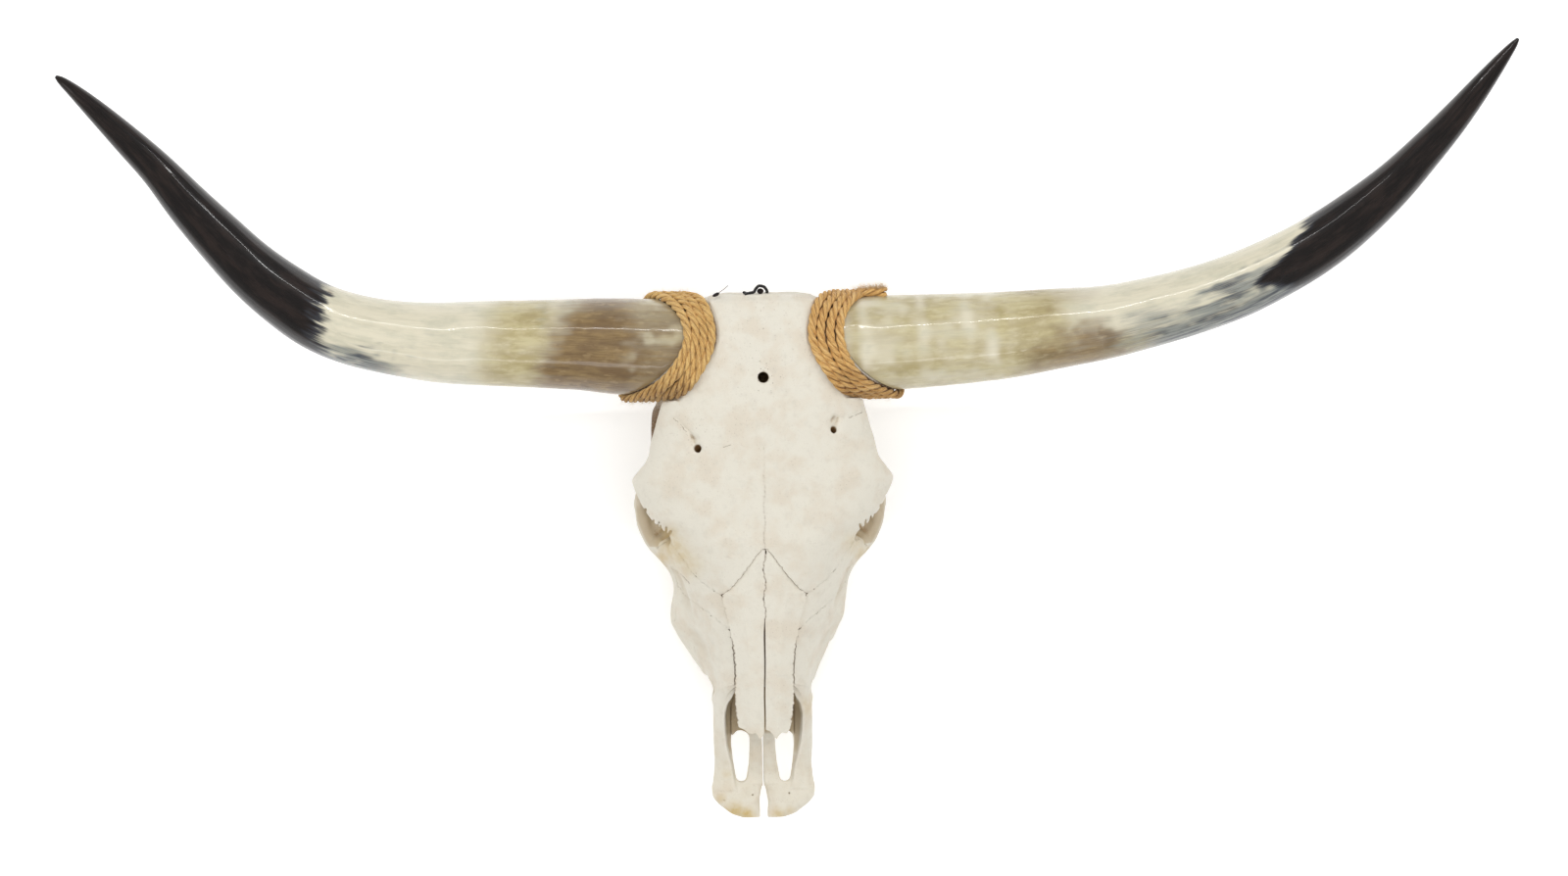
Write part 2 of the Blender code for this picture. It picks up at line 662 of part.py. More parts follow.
def make_hanger():
    """The screw in the back of the crown and the black wire looped over it."""
    shape = bmesh.new()
    steel = (0.05, 0.045, 0.04)
    start, end = place(*SCREW_HEAD), place(*SCREW_POINT)
    length = (end - start).length / MM - 1
    outline = [
        (0, 1.4), (0.7 * SCREW_HEAD_RADIUS, 1.2), (SCREW_HEAD_RADIUS, 0.3), (SCREW_HEAD_RADIUS, -0.4),
        (SCREW_RADIUS, -1.1), (SCREW_RADIUS, 3 - length), (0, -length),
    ]
    verts = [shape.verts.new(Vector((radius, 0, height)) * MM) for radius, height in outline]
    for first, second in zip(verts, verts[1:]):
        shape.edges.new((first, second))
    turned = keep(shape, "screw outline")
    spin = turned.modifiers.new("Turn", "SCREW")
    spin.steps = spin.render_steps = 12
    spin.use_merge_vertices = True
    spin.merge_threshold = 0.00001
    settle(turned)
    aim = (start - end).to_track_quat("Z", "Y").to_matrix().to_4x4()
    turned.data.transform(Matrix.Translation(start) @ aim)
    name_piece(turned, "hanger_screw", "screw_steel", steel, 0.4, 0.8)
    wire = limb([(*point, WIRE_RADIUS) for point in WIRE_ROUTE], 1, 2, 1)
    name_piece(wire, "hanger_wire", "wire_black", (0.02, 0.018, 0.016), 0.45)


def clear_scene():
    """Remove whatever objects the scene holds."""
    for thing in list(bpy.data.objects):
        bpy.data.objects.remove(thing)


clear_scene()
MODEL = collection("longhorn_skull")
SHAPES = collection("construction", hidden=True)
ROOT = bpy.data.objects.new("skull_axes", None)
MODEL.objects.link(ROOT)
ROOT.location = (MIDLINE_X * MM, CROWN_Y * MM, 0)
make_bones()
make_teeth()
make_horns()
make_ropes()
make_hanger()
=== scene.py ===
"""Longhorn steer skull, lying face up, with both horn sheaths, roped horn necks and a hanger.

Lengths inside this file are millimetres in the skull's own axes: x is the distance from the
skull's midline, t runs from the crown between the horns towards the nose, and z is the height
above the floor. to_world() turns them into Blender's metres.
"""

import math

import bpy
import numpy as np
import openvdb
from bpy.props import FloatProperty, FloatVectorProperty, IntProperty, PointerProperty
from mathutils import Matrix, Vector


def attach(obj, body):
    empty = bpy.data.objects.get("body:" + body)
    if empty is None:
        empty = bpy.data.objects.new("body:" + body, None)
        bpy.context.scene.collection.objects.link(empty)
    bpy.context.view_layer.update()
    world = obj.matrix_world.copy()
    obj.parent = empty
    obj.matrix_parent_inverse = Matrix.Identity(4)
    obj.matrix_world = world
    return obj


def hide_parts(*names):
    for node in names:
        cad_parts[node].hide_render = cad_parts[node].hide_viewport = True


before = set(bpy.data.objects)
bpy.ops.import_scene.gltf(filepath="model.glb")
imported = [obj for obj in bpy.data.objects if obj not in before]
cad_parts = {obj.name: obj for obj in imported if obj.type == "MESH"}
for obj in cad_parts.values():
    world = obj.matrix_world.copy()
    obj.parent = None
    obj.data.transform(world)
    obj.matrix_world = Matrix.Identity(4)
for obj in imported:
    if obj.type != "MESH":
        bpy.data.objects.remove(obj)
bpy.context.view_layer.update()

bl_info = {
    "name": "Longhorn skull",
    "version": (1, 0, 0),
    "blender": (4, 5, 0),
    "location": "3D View > Sidebar > Skull",
    "description": "Models a longhorn steer skull with horns, rope and hanger",
    "category": "Add Mesh",
}

MM = 0.001
# Where the skull's midline and crown lie in the frame
MIDLINE_X = -30.0
CROWN_Y = 139.4
# Depth of a grid point that no clay is near, and how many grid steps deep a skin's own band is
FAR = 30.0
BAND = 4
SIDES = ((-1, "left"), (1, "right"))

# Horn necks: the axis leaves the skull at HORN_T, HORN_Z
HORN_T = 49.0
HORN_Z = 150.0
NECK_RADIUS = 46.8
# Gap between a winding and its sheath
GAP = 0.4
ROPE_TURNS = 4
ROPE_DIAMETER = 8.2
# A strand's distance from the rope's axis and its radius, as shares of the rope's diameter
STRAND_OFF_AXIS = 0.265
STRAND_THICK = 0.262
# How far the turns wander across the winding, as a share of a lane
WANDER = 0.17
# How far the winding climbs the forehead's edge, and how much slimmer the neck is on the nose's side
ROPE_BULGE = 8.0
LOW_SIDE = 3.0

# Sheaths: x, t, z and radius along the axis, from inside the base to the tip
LEFT_HORN = [
    (-60, 49, 150, 46.6), (-128, 47, 150, 46.4), (-171, 44, 150, 43.8), (-213, 43, 150, 41.9),
    (-256, 42, 150, 40.6), (-298, 41, 150, 38.9), (-340, 37, 150, 36.4), (-382, 29, 152, 34.4),
    (-421, 15, 154, 32.5), (-456, -8, 158, 30.0), (-487, -34, 163, 26.9), (-516, -64, 169, 24.1),
    (-543, -94, 176, 20.9), (-569, -125, 185, 17.0), (-596, -153, 196, 14.0), (-624, -181, 211, 9.8),
    (-642, -198, 223, 6.4), (-652, -206.5, 231, 4.0), (-656.2, -209.8, 234.5, 1.6),
]
RIGHT_HORN = [
    (60, 49, 150, 46.6), (145, 46, 150, 45.2), (191, 44, 150, 43.7), (237, 41, 150, 41.8),
    (282, 36, 150, 38.9), (328, 31, 150, 35.6), (373, 22, 151, 33.6), (417, 11, 154, 32.2),
    (460, -3, 158, 31.3), (500, -21, 165, 29.7), (539, -43, 174, 27.6), (574, -69, 186, 24.6),
    (606, -97, 199, 20.9), (635, -128, 214, 17.4), (662, -160, 230, 13.9), (686, -191, 243, 9.8),
    (704, -214, 248, 6.0), (712.5, -224.5, 249.6, 3.6), (716.4, -229.5, 250.2, 1.5),
]

# Forehead: t, height on the midline, half width, height at the side edge, thickness
FOREHEAD = [
    (1.5, 193, 50, 172, 30), (8, 198, 56, 178, 45), (30, 198, 63, 186, 60),
    (60, 196.5, 74, 184, 60), (100, 193, 95, 172, 40), (118, 190.5, 100.5, 167, 30),
    (136, 187, 105.5, 162, 26), (153, 183.5, 112, 157, 24), (167, 180.5, 119.5, 152, 20),
    (176, 179, 124.6, 149, 17), (184, 177, 122.6, 147.5, 15), (191, 175.5, 119.5, 146, 14),
    (200, 173.5, 115.5, 144, 14), (208, 172, 111.5, 143, 14), (215, 170.5, 107, 142, 14),
    (221, 169, 101, 140.5, 15), (230, 167, 90, 138, 26), (246, 162.2, 82, 130, 60), (262, 156.5, 75, 123, 60),
    (282, 148, 62, 112, 55),
]
# Braincase and back of the head: height, rear t, front t, half width
BRAINCASE = [
    (58, 36, 130, 30), (66, 32, 140, 60), (78, 28, 150, 80), (92, 24, 168, 82), (110, 18, 172, 76),
    (130, 11, 170, 69), (155, 4, 160, 60), (175, 1, 120, 56), (190, 2, 60, 52),
]
# Face: t, midline height, shoulder x and z, widest x and z, tooth edge x and z, roof of mouth
FACE = [
    (214, 164, 80, 134, 78, 108, 44, 76, 84), (224, 165, 84, 135, 92, 96, 54, 54, 66),
    (234, 165, 86, 135.5, 103, 88, 62, 36, 54), (250, 161, 82, 131, 95, 86, 66, 24, 48),
    (270, 156, 75, 127, 87.5, 82, 69, 25, 46), (300, 147, 62, 121, 83, 78, 70, 28.5, 46),
    (320, 141.5, 54, 117, 79, 76, 68, 31, 47), (338, 136, 47, 113, 69, 72, 62, 33, 48),
    (366, 128, 42, 108, 54.5, 68, 51, 36.5, 50), (390, 121, 40, 102, 48.5, 64, 44, 44, 51),
    (404, 117, 39, 97, 48, 64, 43, 49, 51), (425, 110, 38, 86, 47, 62, 42, 51, 51),
    (434, 107, 37, 82, 46, 61, 41, 52, 51),
]
# Nasal bones: t, outer half width, height at the midline and at the outer edge, thickness
NASALS = [
    (243.5, 3.4, 163.4, 163, 6), (249, 7.5, 162, 161, 6), (260, 15.5, 159, 156.8, 6),
    (272, 24.5, 155.6, 151, 6), (283, 34.5, 152.4, 145, 6), (287.5, 41, 151, 141.8, 6),
    (292, 40.6, 149.8, 140, 6), (300, 38.4, 147.4, 138.5, 5.5), (316, 34.5, 142.6, 134.5, 5.5),
    (337, 30.5, 136.4, 129.8, 5), (360, 28.5, 129.4, 123.4, 5), (380, 29, 123.5, 117, 4.5),
    (400, 28, 117.4, 110.8, 4.2), (414, 26, 113, 107, 4), (422, 24, 110.4, 106, 3.6), (431, 21, 108, 105, 3),
]
# Premaxillae: t, then x and z of the outer edge, shoulder, rim and inner edge, underside z of the arm
SNOUT_ARM = [
    (368, 51.5, 67, 43, 106, 30, 113, 28.5, 62, 50), (378, 50, 66, 42, 102, 29, 109, 28, 61, 50),
    (388, 49.2, 66, 42, 97.5, 31.5, 103, 29, 60, 50), (397, 48.5, 65, 42.8, 91, 36.5, 96, 30.2, 58, 51),
    (408, 48.4, 64, 44, 84, 38.6, 89.5, 30.4, 57, 51), (422, 48.5, 63.5, 44.4, 77.5, 38.2, 83, 30.4, 57, 51),
    (434, 48.6, 63, 44, 74, 37.2, 79, 30.4, 57, 51), (448, 48, 61.5, 43, 69.5, 35, 73.5, 29.5, 57, 51.5),
    (462, 46.8, 61, 41, 66.5, 31.5, 69, 27, 58, 53), (482, 48, 61, 40, 65, 28, 66.5, 24, 60, 54),
]
# The long prong beside the midline, and the body at the tip: t, inner x, outer x, top z, underside z
SNOUT_PRONG = [
    (423, 0.6, 31, 57.5, 51.5), (433, 0.6, 31, 58, 51.5), (440, 0.6, 18, 60, 51.8), (455, 0.6, 18, 62, 53),
    (468, 0.7, 20, 63.6, 54), (476, 2.6, 24, 64.8, 55),
]
SNOUT_BODY = [
    (452, 30, 46, 61.5, 54), (460, 17, 46.2, 63, 54), (468, 8, 46.6, 64, 54.2), (474, 1.5, 47, 65, 54.5),
    (480, 4.2, 48.2, 65.6, 55), (487, 5.6, 48, 66.2, 55.6), (495, 6.4, 43.5, 66, 56),
    (503, 5.4, 34.5, 65.5, 56.5), (507, 5, 29, 65, 57), (510.2, 4.6, 20, 64.5, 57),
]
# The nose's cavity: t, half width, height of its floor, and how tall it is
NOSE_CHANNEL = [(292, 24, 58, 66), (340, 30, 58, 62), (385, 33.5, 58, 54), (440, 36, 60, 60)]
# The open slot in each premaxilla: its middle x, the t of its rounded ends' centres, and their radii
SLOT = (21.5, 434, 469.5, 9, 5.5)
# The snout bones meet the face on a slanting suture: t at SUTURE_Z, and t gained per mm of height
SUTURE_T = 394.0
SUTURE_Z = 64.0
SUTURE_LEAN = -0.35
# The jaws' palate reaches in between the premaxillae as far as this
PALATE_X = 30.7
PALATE_T = 424.5

# Teeth: length, middle x and width of each, from the last molar towards the nose
TOOTH_ROW_START = 250.0
TOOTH_HEIGHT = 29.0
CHEWING_SLOPE = 0.1228
CHEEK_TEETH = [
    (29, 54.5, 22), (26, 57.0, 24), (23, 57.0, 24), (18, 53.0, 20), (17, 48.5, 17.5), (15, 44.0, 15),
]
MOLARS = 3
# Outline of a molar and of a premolar: shares of the length and of the width
MOLAR = [
    (0.03, 0.28), (0.09, 0.5), (0.19, 0.4), (0.3, 0.44), (0.41, 0.38), (0.5, 0.52), (0.6, 0.38),
    (0.72, 0.43), (0.84, 0.38), (0.93, 0.48), (0.98, 0.24), (0.97, -0.18), (0.9, -0.42), (0.75, -0.5),
    (0.59, -0.42), (0.5, -0.3), (0.41, -0.42), (0.25, -0.5), (0.1, -0.42), (0.03, -0.18),
]
PREMOLAR = [
    (0.03, 0.24), (0.12, 0.47), (0.3, 0.38), (0.5, 0.46), (0.7, 0.38), (0.88, 0.46), (0.97, 0.22),
    (0.96, -0.2), (0.8, -0.42), (0.5, -0.5), (0.2, -0.42), (0.04, -0.2),
]

# Width of the hairline between two bones
SEAM_GAP = 0.06
# Worn ends of the nasal bones: distance from the midline and t
NASAL_ENDS = {
    "left": [
        (0, 423.5), (2, 426), (4.2, 430), (6.8, 426.5), (9.2, 423.2), (12, 425), (15.5, 424), (20, 420),
        (27, 417),
    ],
    "right": [
        (0, 420), (5, 422), (9, 427), (11.4, 430.5), (13.8, 426.5), (17, 423.6), (21, 425), (26, 421),
        (30, 417),
    ],
}
# Vessel holes: x, t, radius, and how far they lean in x and t; one below VESSEL_DEEP is only a pit
VESSEL_HOLES = [
    (-64, 144.5, 3.5, 6, 7), (-68.5, 133, 1.3, 4, 5), (67.5, 128.5, 2.9, -5, 8), (68, 116.5, 1.3, -3, 5),
    (-68, 262, 0.9, 4, 5), (69, 263, 0.9, -4, 5),
]
VESSEL_DEEP = 2
# Shallow vessel grooves: places of x and t, radius, and how far they sink in
VESSEL_GROOVES = [
    ([(-84, 116), (-79, 121), (-74, 127), (-69, 132)], 1.2, 0.3), ([(-70, 132), (-66, 140)], 1.6, 0.5),
    ([(71, 119), (69, 127)], 1.6, 0.6), ([(83, 117), (89, 115), (92, 112), (97, 111)], 0.9, 0.45),
]
# The left cheek swells more than the right one: x, t, z and radius along the swelling
CHEEK_SWELLING = [
    (-75, 288, 69, 6.5), (-81.5, 302, 68, 7), (-82, 313, 67, 7), (-77.5, 323, 65, 7), (-66.5, 343, 61, 6.2),
    (-54, 364, 60, 5),
]
# Nicks in the worn rims of the eye sockets: x, t, half width, half length, and turn in degrees
RIM_NICKS = [
    (-101.2, 219.6, 0.75, 5.5, 12), (-98.0, 222.4, 0.7, 4.5, -14), (-93.4, 223, 0.8, 6.5, 8),
    (-90.2, 227, 1.3, 4.5, 30), (-105.9, 216, 0.9, 3.4, 20), (-113.5, 204.5, 1.3, 2.4, 30),
    (-119.5, 195, 1.0, 1.8, 30), (108.2, 214.4, 0.8, 3.5, -12), (103.4, 217.6, 0.75, 5.5, 10),
    (98.8, 220.8, 0.75, 6, -6), (94.2, 224, 1.1, 5.5, -24), (114.2, 204.3, 1.3, 2.4, -30),
    (119.6, 194.6, 1.0, 1.8, -30),
]
# Small dry cracks in the forehead: x and t of both ends, and width
CRACKS = [
    ((-84.5, 115.5), (-80, 119.5), 0.4), ((-78, 121.5), (-72.5, 128.5), 0.35),
    ((-37.5, 144), (-30.5, 141.5), 0.6), ((83, 117.5), (87, 116), 0.5), ((89, 115.5), (96, 112.5), 0.5),
    ((-78, 266), (-70, 275), 0.45),
]
# Yellow grease stains: x, t, size and strength
YELLOW_STAINS = [
    (-88, 240, 12, 0.6), (-80, 249, 11, 0.5), (-72, 258, 12, 0.35), (88, 240, 11, 0.35), (100, 252, 9, 0.4),
    (-97, 252, 8, 0.45), (-30, 504, 10, 1.0), (-17, 508, 8, 0.95), (-24, 478, 44, 0.14), (22, 478, 44, 0.12),
    (-42, 492, 6, 0.5), (14, 508, 8, 0.6), (26, 505, 6, 0.45), (44, 400, 9, 0.3), (-90, 228, 8, 0.5),
    (-36, 466, 6, 0.35),
]
# Outer edge of the eye socket seen from the front: t and distance from the midline
SOCKET_EDGE = [(190, 122.5), (200, 122.8), (215, 121.5), (232, 115), (241.5, 109.5), (248, 102), (258, 92)]

# Gentle unevenness of dry bone: height and size of each wave; then the size of the pores' pattern
UNEVENNESS = [(0.34, 21), (0.2, 8.5), (0.1, 3.4)]
PORE_SIZE = 2.6
# Random values repeat after this many cells
LATTICE = 32

# How far round a place bone is counted for the painted shade in its hollows, and for the painted shade in the
# creases and painted light on the ridges of each block
HOLLOW_REACH = 9
SKULL_CREASE = 1.6
SNOUT_CREASE = 1.4
TOOTH_CREASE = 1.3

# Angles in degrees above which an edge stays sharp: on most pieces, and on those that are smooth all over
CRISP = 52
SMOOTH = 180

# The frayed end of the right rope: places of x, t and z
ROPE_END = [(92, -0.5, 160), (99, -1.6, 161), (106, -2.0, 160), (114, -1.6, 159), (121, -1.2, 158.5)]
FIBRE_LENGTH = 7
FIBRE_RADIUS = 0.13

# Hanger: the ends of the screw's axis, its head's outline as radius and depth, and the wire's route
SCREW_HEAD = (-1.5, -3.2, 190.0)
SCREW_POINT = (-1.5, 10.0, 174.0)
SCREW_OUTLINE = [
    (0.02, -1.5), (0.6, -1.48), (1.2, -1.4), (1.8, -1.26), (2.4, -1.0), (2.9, -0.55), (3.15, -0.1),
    (3.2, 0.25), (3.0, 0.5), (1.5, 1.2),
]
SCREW_SIDES = 36
THREAD_PITCH = 0.55
WIRE_RADIUS = 1.45
WIRE_ROUTE = [
    (-16.5, 0.2, 192), (-11.5, -1.4, 190.5), (-7.8, -2.2, 189.8), (-5.6, -5.6, 189.2), (-2.2, -8.2, 188.8),
    (1.8, -7.4, 188.2), (4.4, -4.6, 187.2), (5.4, -2.4, 184), (4.6, -1.6, 178), (1.0, -1.4, 173),
    (-5, -1.2, 171), (-11, -1.4, 174), (-15, -1.8, 181), (-17, -2.0, 188),
]
# The dark chip on the crown, as x, t, z and radius, and the strand that lies on it
CROWN_CHIP = [(-47, 1.2, 190, 0.4), (-45, 0.4, 191, 1.6), (-42.5, -0.8, 191.4, 1.7), (-40.6, -1.8, 191, 0.5)]
CROWN_STRAND = [(-44, 0.5, 190.6), (-40, -2.6, 191.6), (-36, -5.4, 191.4), (-32, -8.8, 190.6)]
STRAND_RADIUS = 0.34

# Camera: the point it looks at in metres, its distance, turn and roll in degrees, and its lens
AIM = (-0.009, 0.0024, 0.150)
CAMERA_DISTANCE = 3.6
CAMERA_TURN = 3.0
CAMERA_ROLL = -0.9
LENS = 85.9
# Lights: name, place, what it aims at, size, power, and whether it shows in glossy surfaces
LIGHTS = [
    ("overhead", (0, -0.1, 3.4), (0, 0, 0), (2.4, 2.0), 34, False),
    ("softbox_left", (-2.5, -0.2, 2.3), (0, 0, 0.1), (1.8, 1.8), 20, False),
    ("softbox_right", (2.5, -0.2, 2.3), (0, 0, 0.1), (1.8, 1.8), 17, False),
    ("strip", (0, 2.1, 2.6), (0, 0.1, 0.15), (4.6, 0.05), 28, True),
    ("low_strip", (0, -2.2, 2.2), (0, 0, 0.1), (2.4, 0.3), 8, True),
]
WORLD_STRENGTH = 0.38
FLOOR_HALF = 9.0


def to_world(points):
    """Blender's metres for places in the skull's axes."""
    points = np.asarray(points, float)
    return np.stack([
        points[..., 0] + MIDLINE_X, CROWN_Y - points[..., 1], points[..., 2],
    ], -1) * MM


# ---- clay: the skull's skin

def flow(stations, values, at):
    """Values along a row of stations, smooth and without overshoot."""
    stations, values = np.asarray(stations, float), np.asarray(values, float)
    at = np.clip(np.atleast_1d(at), stations[0], stations[-1])
    gaps = np.diff(stations).reshape(-1, *([1] * (values.ndim - 1)))
    rise = np.diff(values, axis=0) / gaps
    before, after = rise[:-1], rise[1:]
    same = before * after > 0
    inner = np.where(same, 2 * before * after / np.where(same, before + after, 1), 0)
    slope = np.concatenate([rise[:1], inner, rise[-1:]])
    i = np.clip(np.searchsorted(stations, at, side="right") - 1, 0, len(stations) - 2)
    span = gaps[i]
    share = ((at - stations[i]).reshape(span.shape[:1] + (1,) * (values.ndim - 1))) / span
    return (
        (1 + 2 * share) * (1 - share) ** 2 * values[i] + share * (1 - share) ** 2 * span * slope[i]
        + share ** 2 * (3 - 2 * share) * values[i + 1] + share ** 2 * (share - 1) * span * slope[i + 1]
    )


def curve_through(points, count):
    """Places on a smooth line through a few points."""
    return flow(np.arange(len(points)), points, np.linspace(0, len(points) - 1, count))


def within(*walls):
    """Distance from the room inside all the walls, each negative on its inner side."""
    return np.maximum.reduce(np.broadcast_arrays(*walls))


def read_off(rows, t, column):
    """A column of a table at other places t; the table's first column is t."""
    return np.interp(t, [row[0] for row in rows], [row[column] for row in rows])


def rounded(ring, steps):
    """A closed outline with curved sides through its points."""
    share = (np.arange(steps) / steps)[None, :, None]
    a, b, c, d = (np.roll(ring, shift, 0)[:, None] for shift in (1, 0, -1, -2))
    curve = 0.5 * (
        2 * b + (c - a) * share + (2 * a - 5 * b + 4 * c - d) * share ** 2
        + (3 * b - a - 3 * c + d) * share ** 3
    )
    return curve.reshape(-1, 2)


def ring_distance(ring, u, v):
    """Distance from a closed outline in its plane, negative inside."""
    nearest = np.full(np.broadcast(u, v).shape, 1e9, np.float32)
    inside = np.zeros(nearest.shape, bool)
    for (au, av), (bu, bv) in zip(ring.astype(np.float32), np.roll(ring, -1, 0).astype(np.float32)):
        eu, ev = bu - au, bv - av
        pu, pv = u - au, v - av
        share = np.clip((pu * eu + pv * ev) / (eu * eu + ev * ev + np.float32(1e-9)), 0, 1)
        np.minimum(nearest, (pu - eu * share) ** 2 + (pv - ev * share) ** 2, out=nearest)
        if av != bv:
            inside ^= ((av > v) != (bv > v)) & (u < au + pv * (eu / ev))
    return np.where(inside, -1, 1).astype(np.float32) * np.sqrt(nearest)


def loft(stations, axis=1, curve=4):
    """A body through closed cross-sections at stations along t, or along z where the axis is 2."""
    at = np.array([station for station, ring in stations], float)
    rings = np.array([ring for station, ring in stations], float)
    span = rings.reshape(-1, 2)

    def distance(*place):
        levels = place[axis].ravel()
        u, v = (np.take(place[i], 0, axis) for i in (0, 3 - axis))
        made = np.empty(np.broadcast(*place).shape, np.float32)
        for level, ring, layer in zip(levels, flow(at, rings, levels), np.moveaxis(made, axis, 0)):
            outline = rounded(ring, curve) if curve else ring
            layer[:] = np.maximum(ring_distance(outline, u, v), max(at[0] - level, level - at[-1]))
        return made

    return np.insert(span.min(0), axis, at[0]), np.insert(span.max(0), axis, at[-1]), distance


def turned(turn):
    """Rotation matrix for angles in degrees about x, t and z."""
    made = np.eye(3)
    for axis, angle in enumerate(turn):
        c, s = math.cos(math.radians(angle)), math.sin(math.radians(angle))
        i, j = [(1, 2), (2, 0), (0, 1)][axis]
        step = np.eye(3)
        step[i, i] = step[j, j] = c
        step[i, j], step[j, i] = -s, s
        made = step @ made
    return made


def lump(centre, radii, turn=(0, 0, 0)):
    """An ellipsoid, from its centre, radii and turn."""
    spin = turned(turn)
    reach = np.sqrt(((spin * np.array(radii)) ** 2).sum(1))
    centre = np.array(centre, float)

    def distance(x, t, z):
        away = (x - np.float32(centre[0]), t - np.float32(centre[1]), z - np.float32(centre[2]))
        near = far = 0
        for axis, radius in enumerate(radii):
            local = sum(np.float32(spin[i, axis]) * away[i] for i in range(3)) / np.float32(radius)
            near = near + local ** 2
            far = far + (local / np.float32(radius)) ** 2
        near = np.sqrt(near)
        return near * (near - 1) / (np.sqrt(far) + np.float32(1e-6))

    return centre - reach, centre + reach, distance


def limb(points, steps=5):
    """A smooth tapering limb through places of x, t, z and radius."""
    points = np.array(points, float)
    reach = points[:, 3:4]
    low, high = (points[:, :3] - reach).min(0), (points[:, :3] + reach).max(0)
    path = curve_through(points, (len(points) - 1) * steps + 1).astype(np.float32)

    def distance(x, t, z):
        made = None
        for a, b in zip(path, path[1:]):
            run = b - a
            share = (x - a[0]) * run[0] + (t - a[1]) * run[1] + (z - a[2]) * run[2]
            share = np.clip(share / (run[:3] @ run[:3] + np.float32(1e-6)), 0, 1)
            away = (x - a[0] - share * run[0]) ** 2 + (t - a[1] - share * run[1]) ** 2
            away = np.sqrt(away + (z - a[2] - share * run[2]) ** 2) - (a[3] + share * run[3])
            made = away if made is None else np.minimum(made, away)
        return made

    return low, high, distance


def melt(first, second, soft):
    """The union of two skins, with a fillet about soft wide."""
    if not soft:
        return np.minimum(first, second)
    near = np.maximum(soft - np.abs(first - second), 0) / np.float32(soft)
    return np.minimum(first, second) - near * near * np.float32(soft / 4)


class Clay:
    """A block of grid points, each with its distance from the skin, negative inside."""

    def __init__(self, low, high, step):
        self.low = np.array(low, float)
        self.step = step
        counts = np.ceil((np.array(high) - self.low) / step).astype(int) + 1
        self.depth = np.full(counts, FAR, np.float32)

    def places(self, window=(slice(None),) * 3):
        """The x, t and z of the grid points in a window, ready to broadcast."""
        made = []
        for axis, part in enumerate(window):
            line = self.low[axis] + self.step * np.arange(self.depth.shape[axis])
            shape = [1, 1, 1]
            shape[axis] = -1
            made.append(line[part].astype(np.float32).reshape(shape))
        return made

    def window(self, low, high, spare):
        """The grid points around a box."""
        low = np.floor((np.array(low) - spare - self.low) / self.step).astype(int)
        high = np.ceil((np.array(high) + spare - self.low) / self.step).astype(int) + 1
        return tuple(
            slice(max(0, a), max(0, min(n, b))) for a, b, n in zip(low, high, self.depth.shape)
        )

    def add(self, shape, soft=0, way=1):
        """Press more clay on, or with -1 for the way carve it away."""
        low, high, distance = shape
        part = self.window(low, high, soft + BAND * self.step)
        if self.depth[part].size:
            self.depth[part] = way * melt(way * self.depth[part], distance(*self.places(part)), soft)

    def cut(self, shape, soft=0):
        """Carve clay away."""
        self.add(shape, soft, -1)

    def both_halves(self):
        """The clay with its mirror image, from a block that starts at the midline."""
        whole = Clay((0, 0, 0), (1, 1, 1), self.step)
        whole.depth = np.concatenate([self.depth[:0:-1], self.depth])
        whole.low = self.low * (0, 1, 1) - (self.step * (self.depth.shape[0] - 1), 0, 0)
        return whole

    def skin(self, keep=None, low=None, high=None):
        """Points and quads of the skin, or of the part where keep(x, t, z) is negative."""
        part = self.window(low, high, 2 * self.step) if low is not None else (slice(None),) * 3
        depth = self.depth[part]
        if keep is not None:
            depth = np.maximum(depth, keep(*self.places(part)))
        band = BAND * self.step
        depth = np.pad(np.clip(depth, -band, band), 1, constant_values=band)
        grid = openvdb.FloatGrid(band)
        grid.copyFromArray(np.ascontiguousarray(depth, np.float32))
        points, quads = grid.convertToQuads(0.0)
        start = self.low + self.step * (np.array([piece.start or 0 for piece in part]) - 1)
        return points * self.step + start, quads.astype(int)

    def feel(self, points, values=None):
        """The clay's depth, or another grid's value, at loose points."""
        values = self.depth if values is None else values
        place = (np.asarray(points) - self.low) / self.step
        base = np.clip(np.floor(place).astype(int), 0, np.array(values.shape) - 2)
        share = np.clip(place - base, 0, 1)
        made = 0
        for corner in np.ndindex(2, 2, 2):
            weight = np.prod(np.where(corner, share, 1 - share), 1)
            at = base + corner
            made = made + weight * values[at[:, 0], at[:, 1], at[:, 2]]
        return made


# ---- the bones

def both_sides(half):
    """Close an outline whose half runs from the midline round one side to the midline."""
    return half + [(-x, other) for x, other in reversed(half) if x > 0]


def forehead_ring(middle, half, edge, thick):
    """One cross-section of the forehead, as x and z."""
    drop = middle - edge
    return both_sides([
        (0, middle), (0.3 * half, middle - 0.02 * drop), (0.58 * half, middle - 0.1 * drop),
        (0.84 * half, middle - 0.46 * drop), (half - 1, edge + 2), (half - 1.5, edge - 6),
        (0.8 * half, edge - thick + 1), (0.4 * half, edge - thick), (0, edge - thick),
    ])


def braincase_ring(rear, front, half):
    """One level of the braincase, as x and t."""
    span = front - rear
    return both_sides([
        (0, rear), (0.75 * half, rear + 2), (half, rear + 0.14 * span), (0.97 * half, rear + 0.5 * span),
        (0.72 * half, rear + 0.82 * span), (0.45 * half, front), (0, front),
    ])


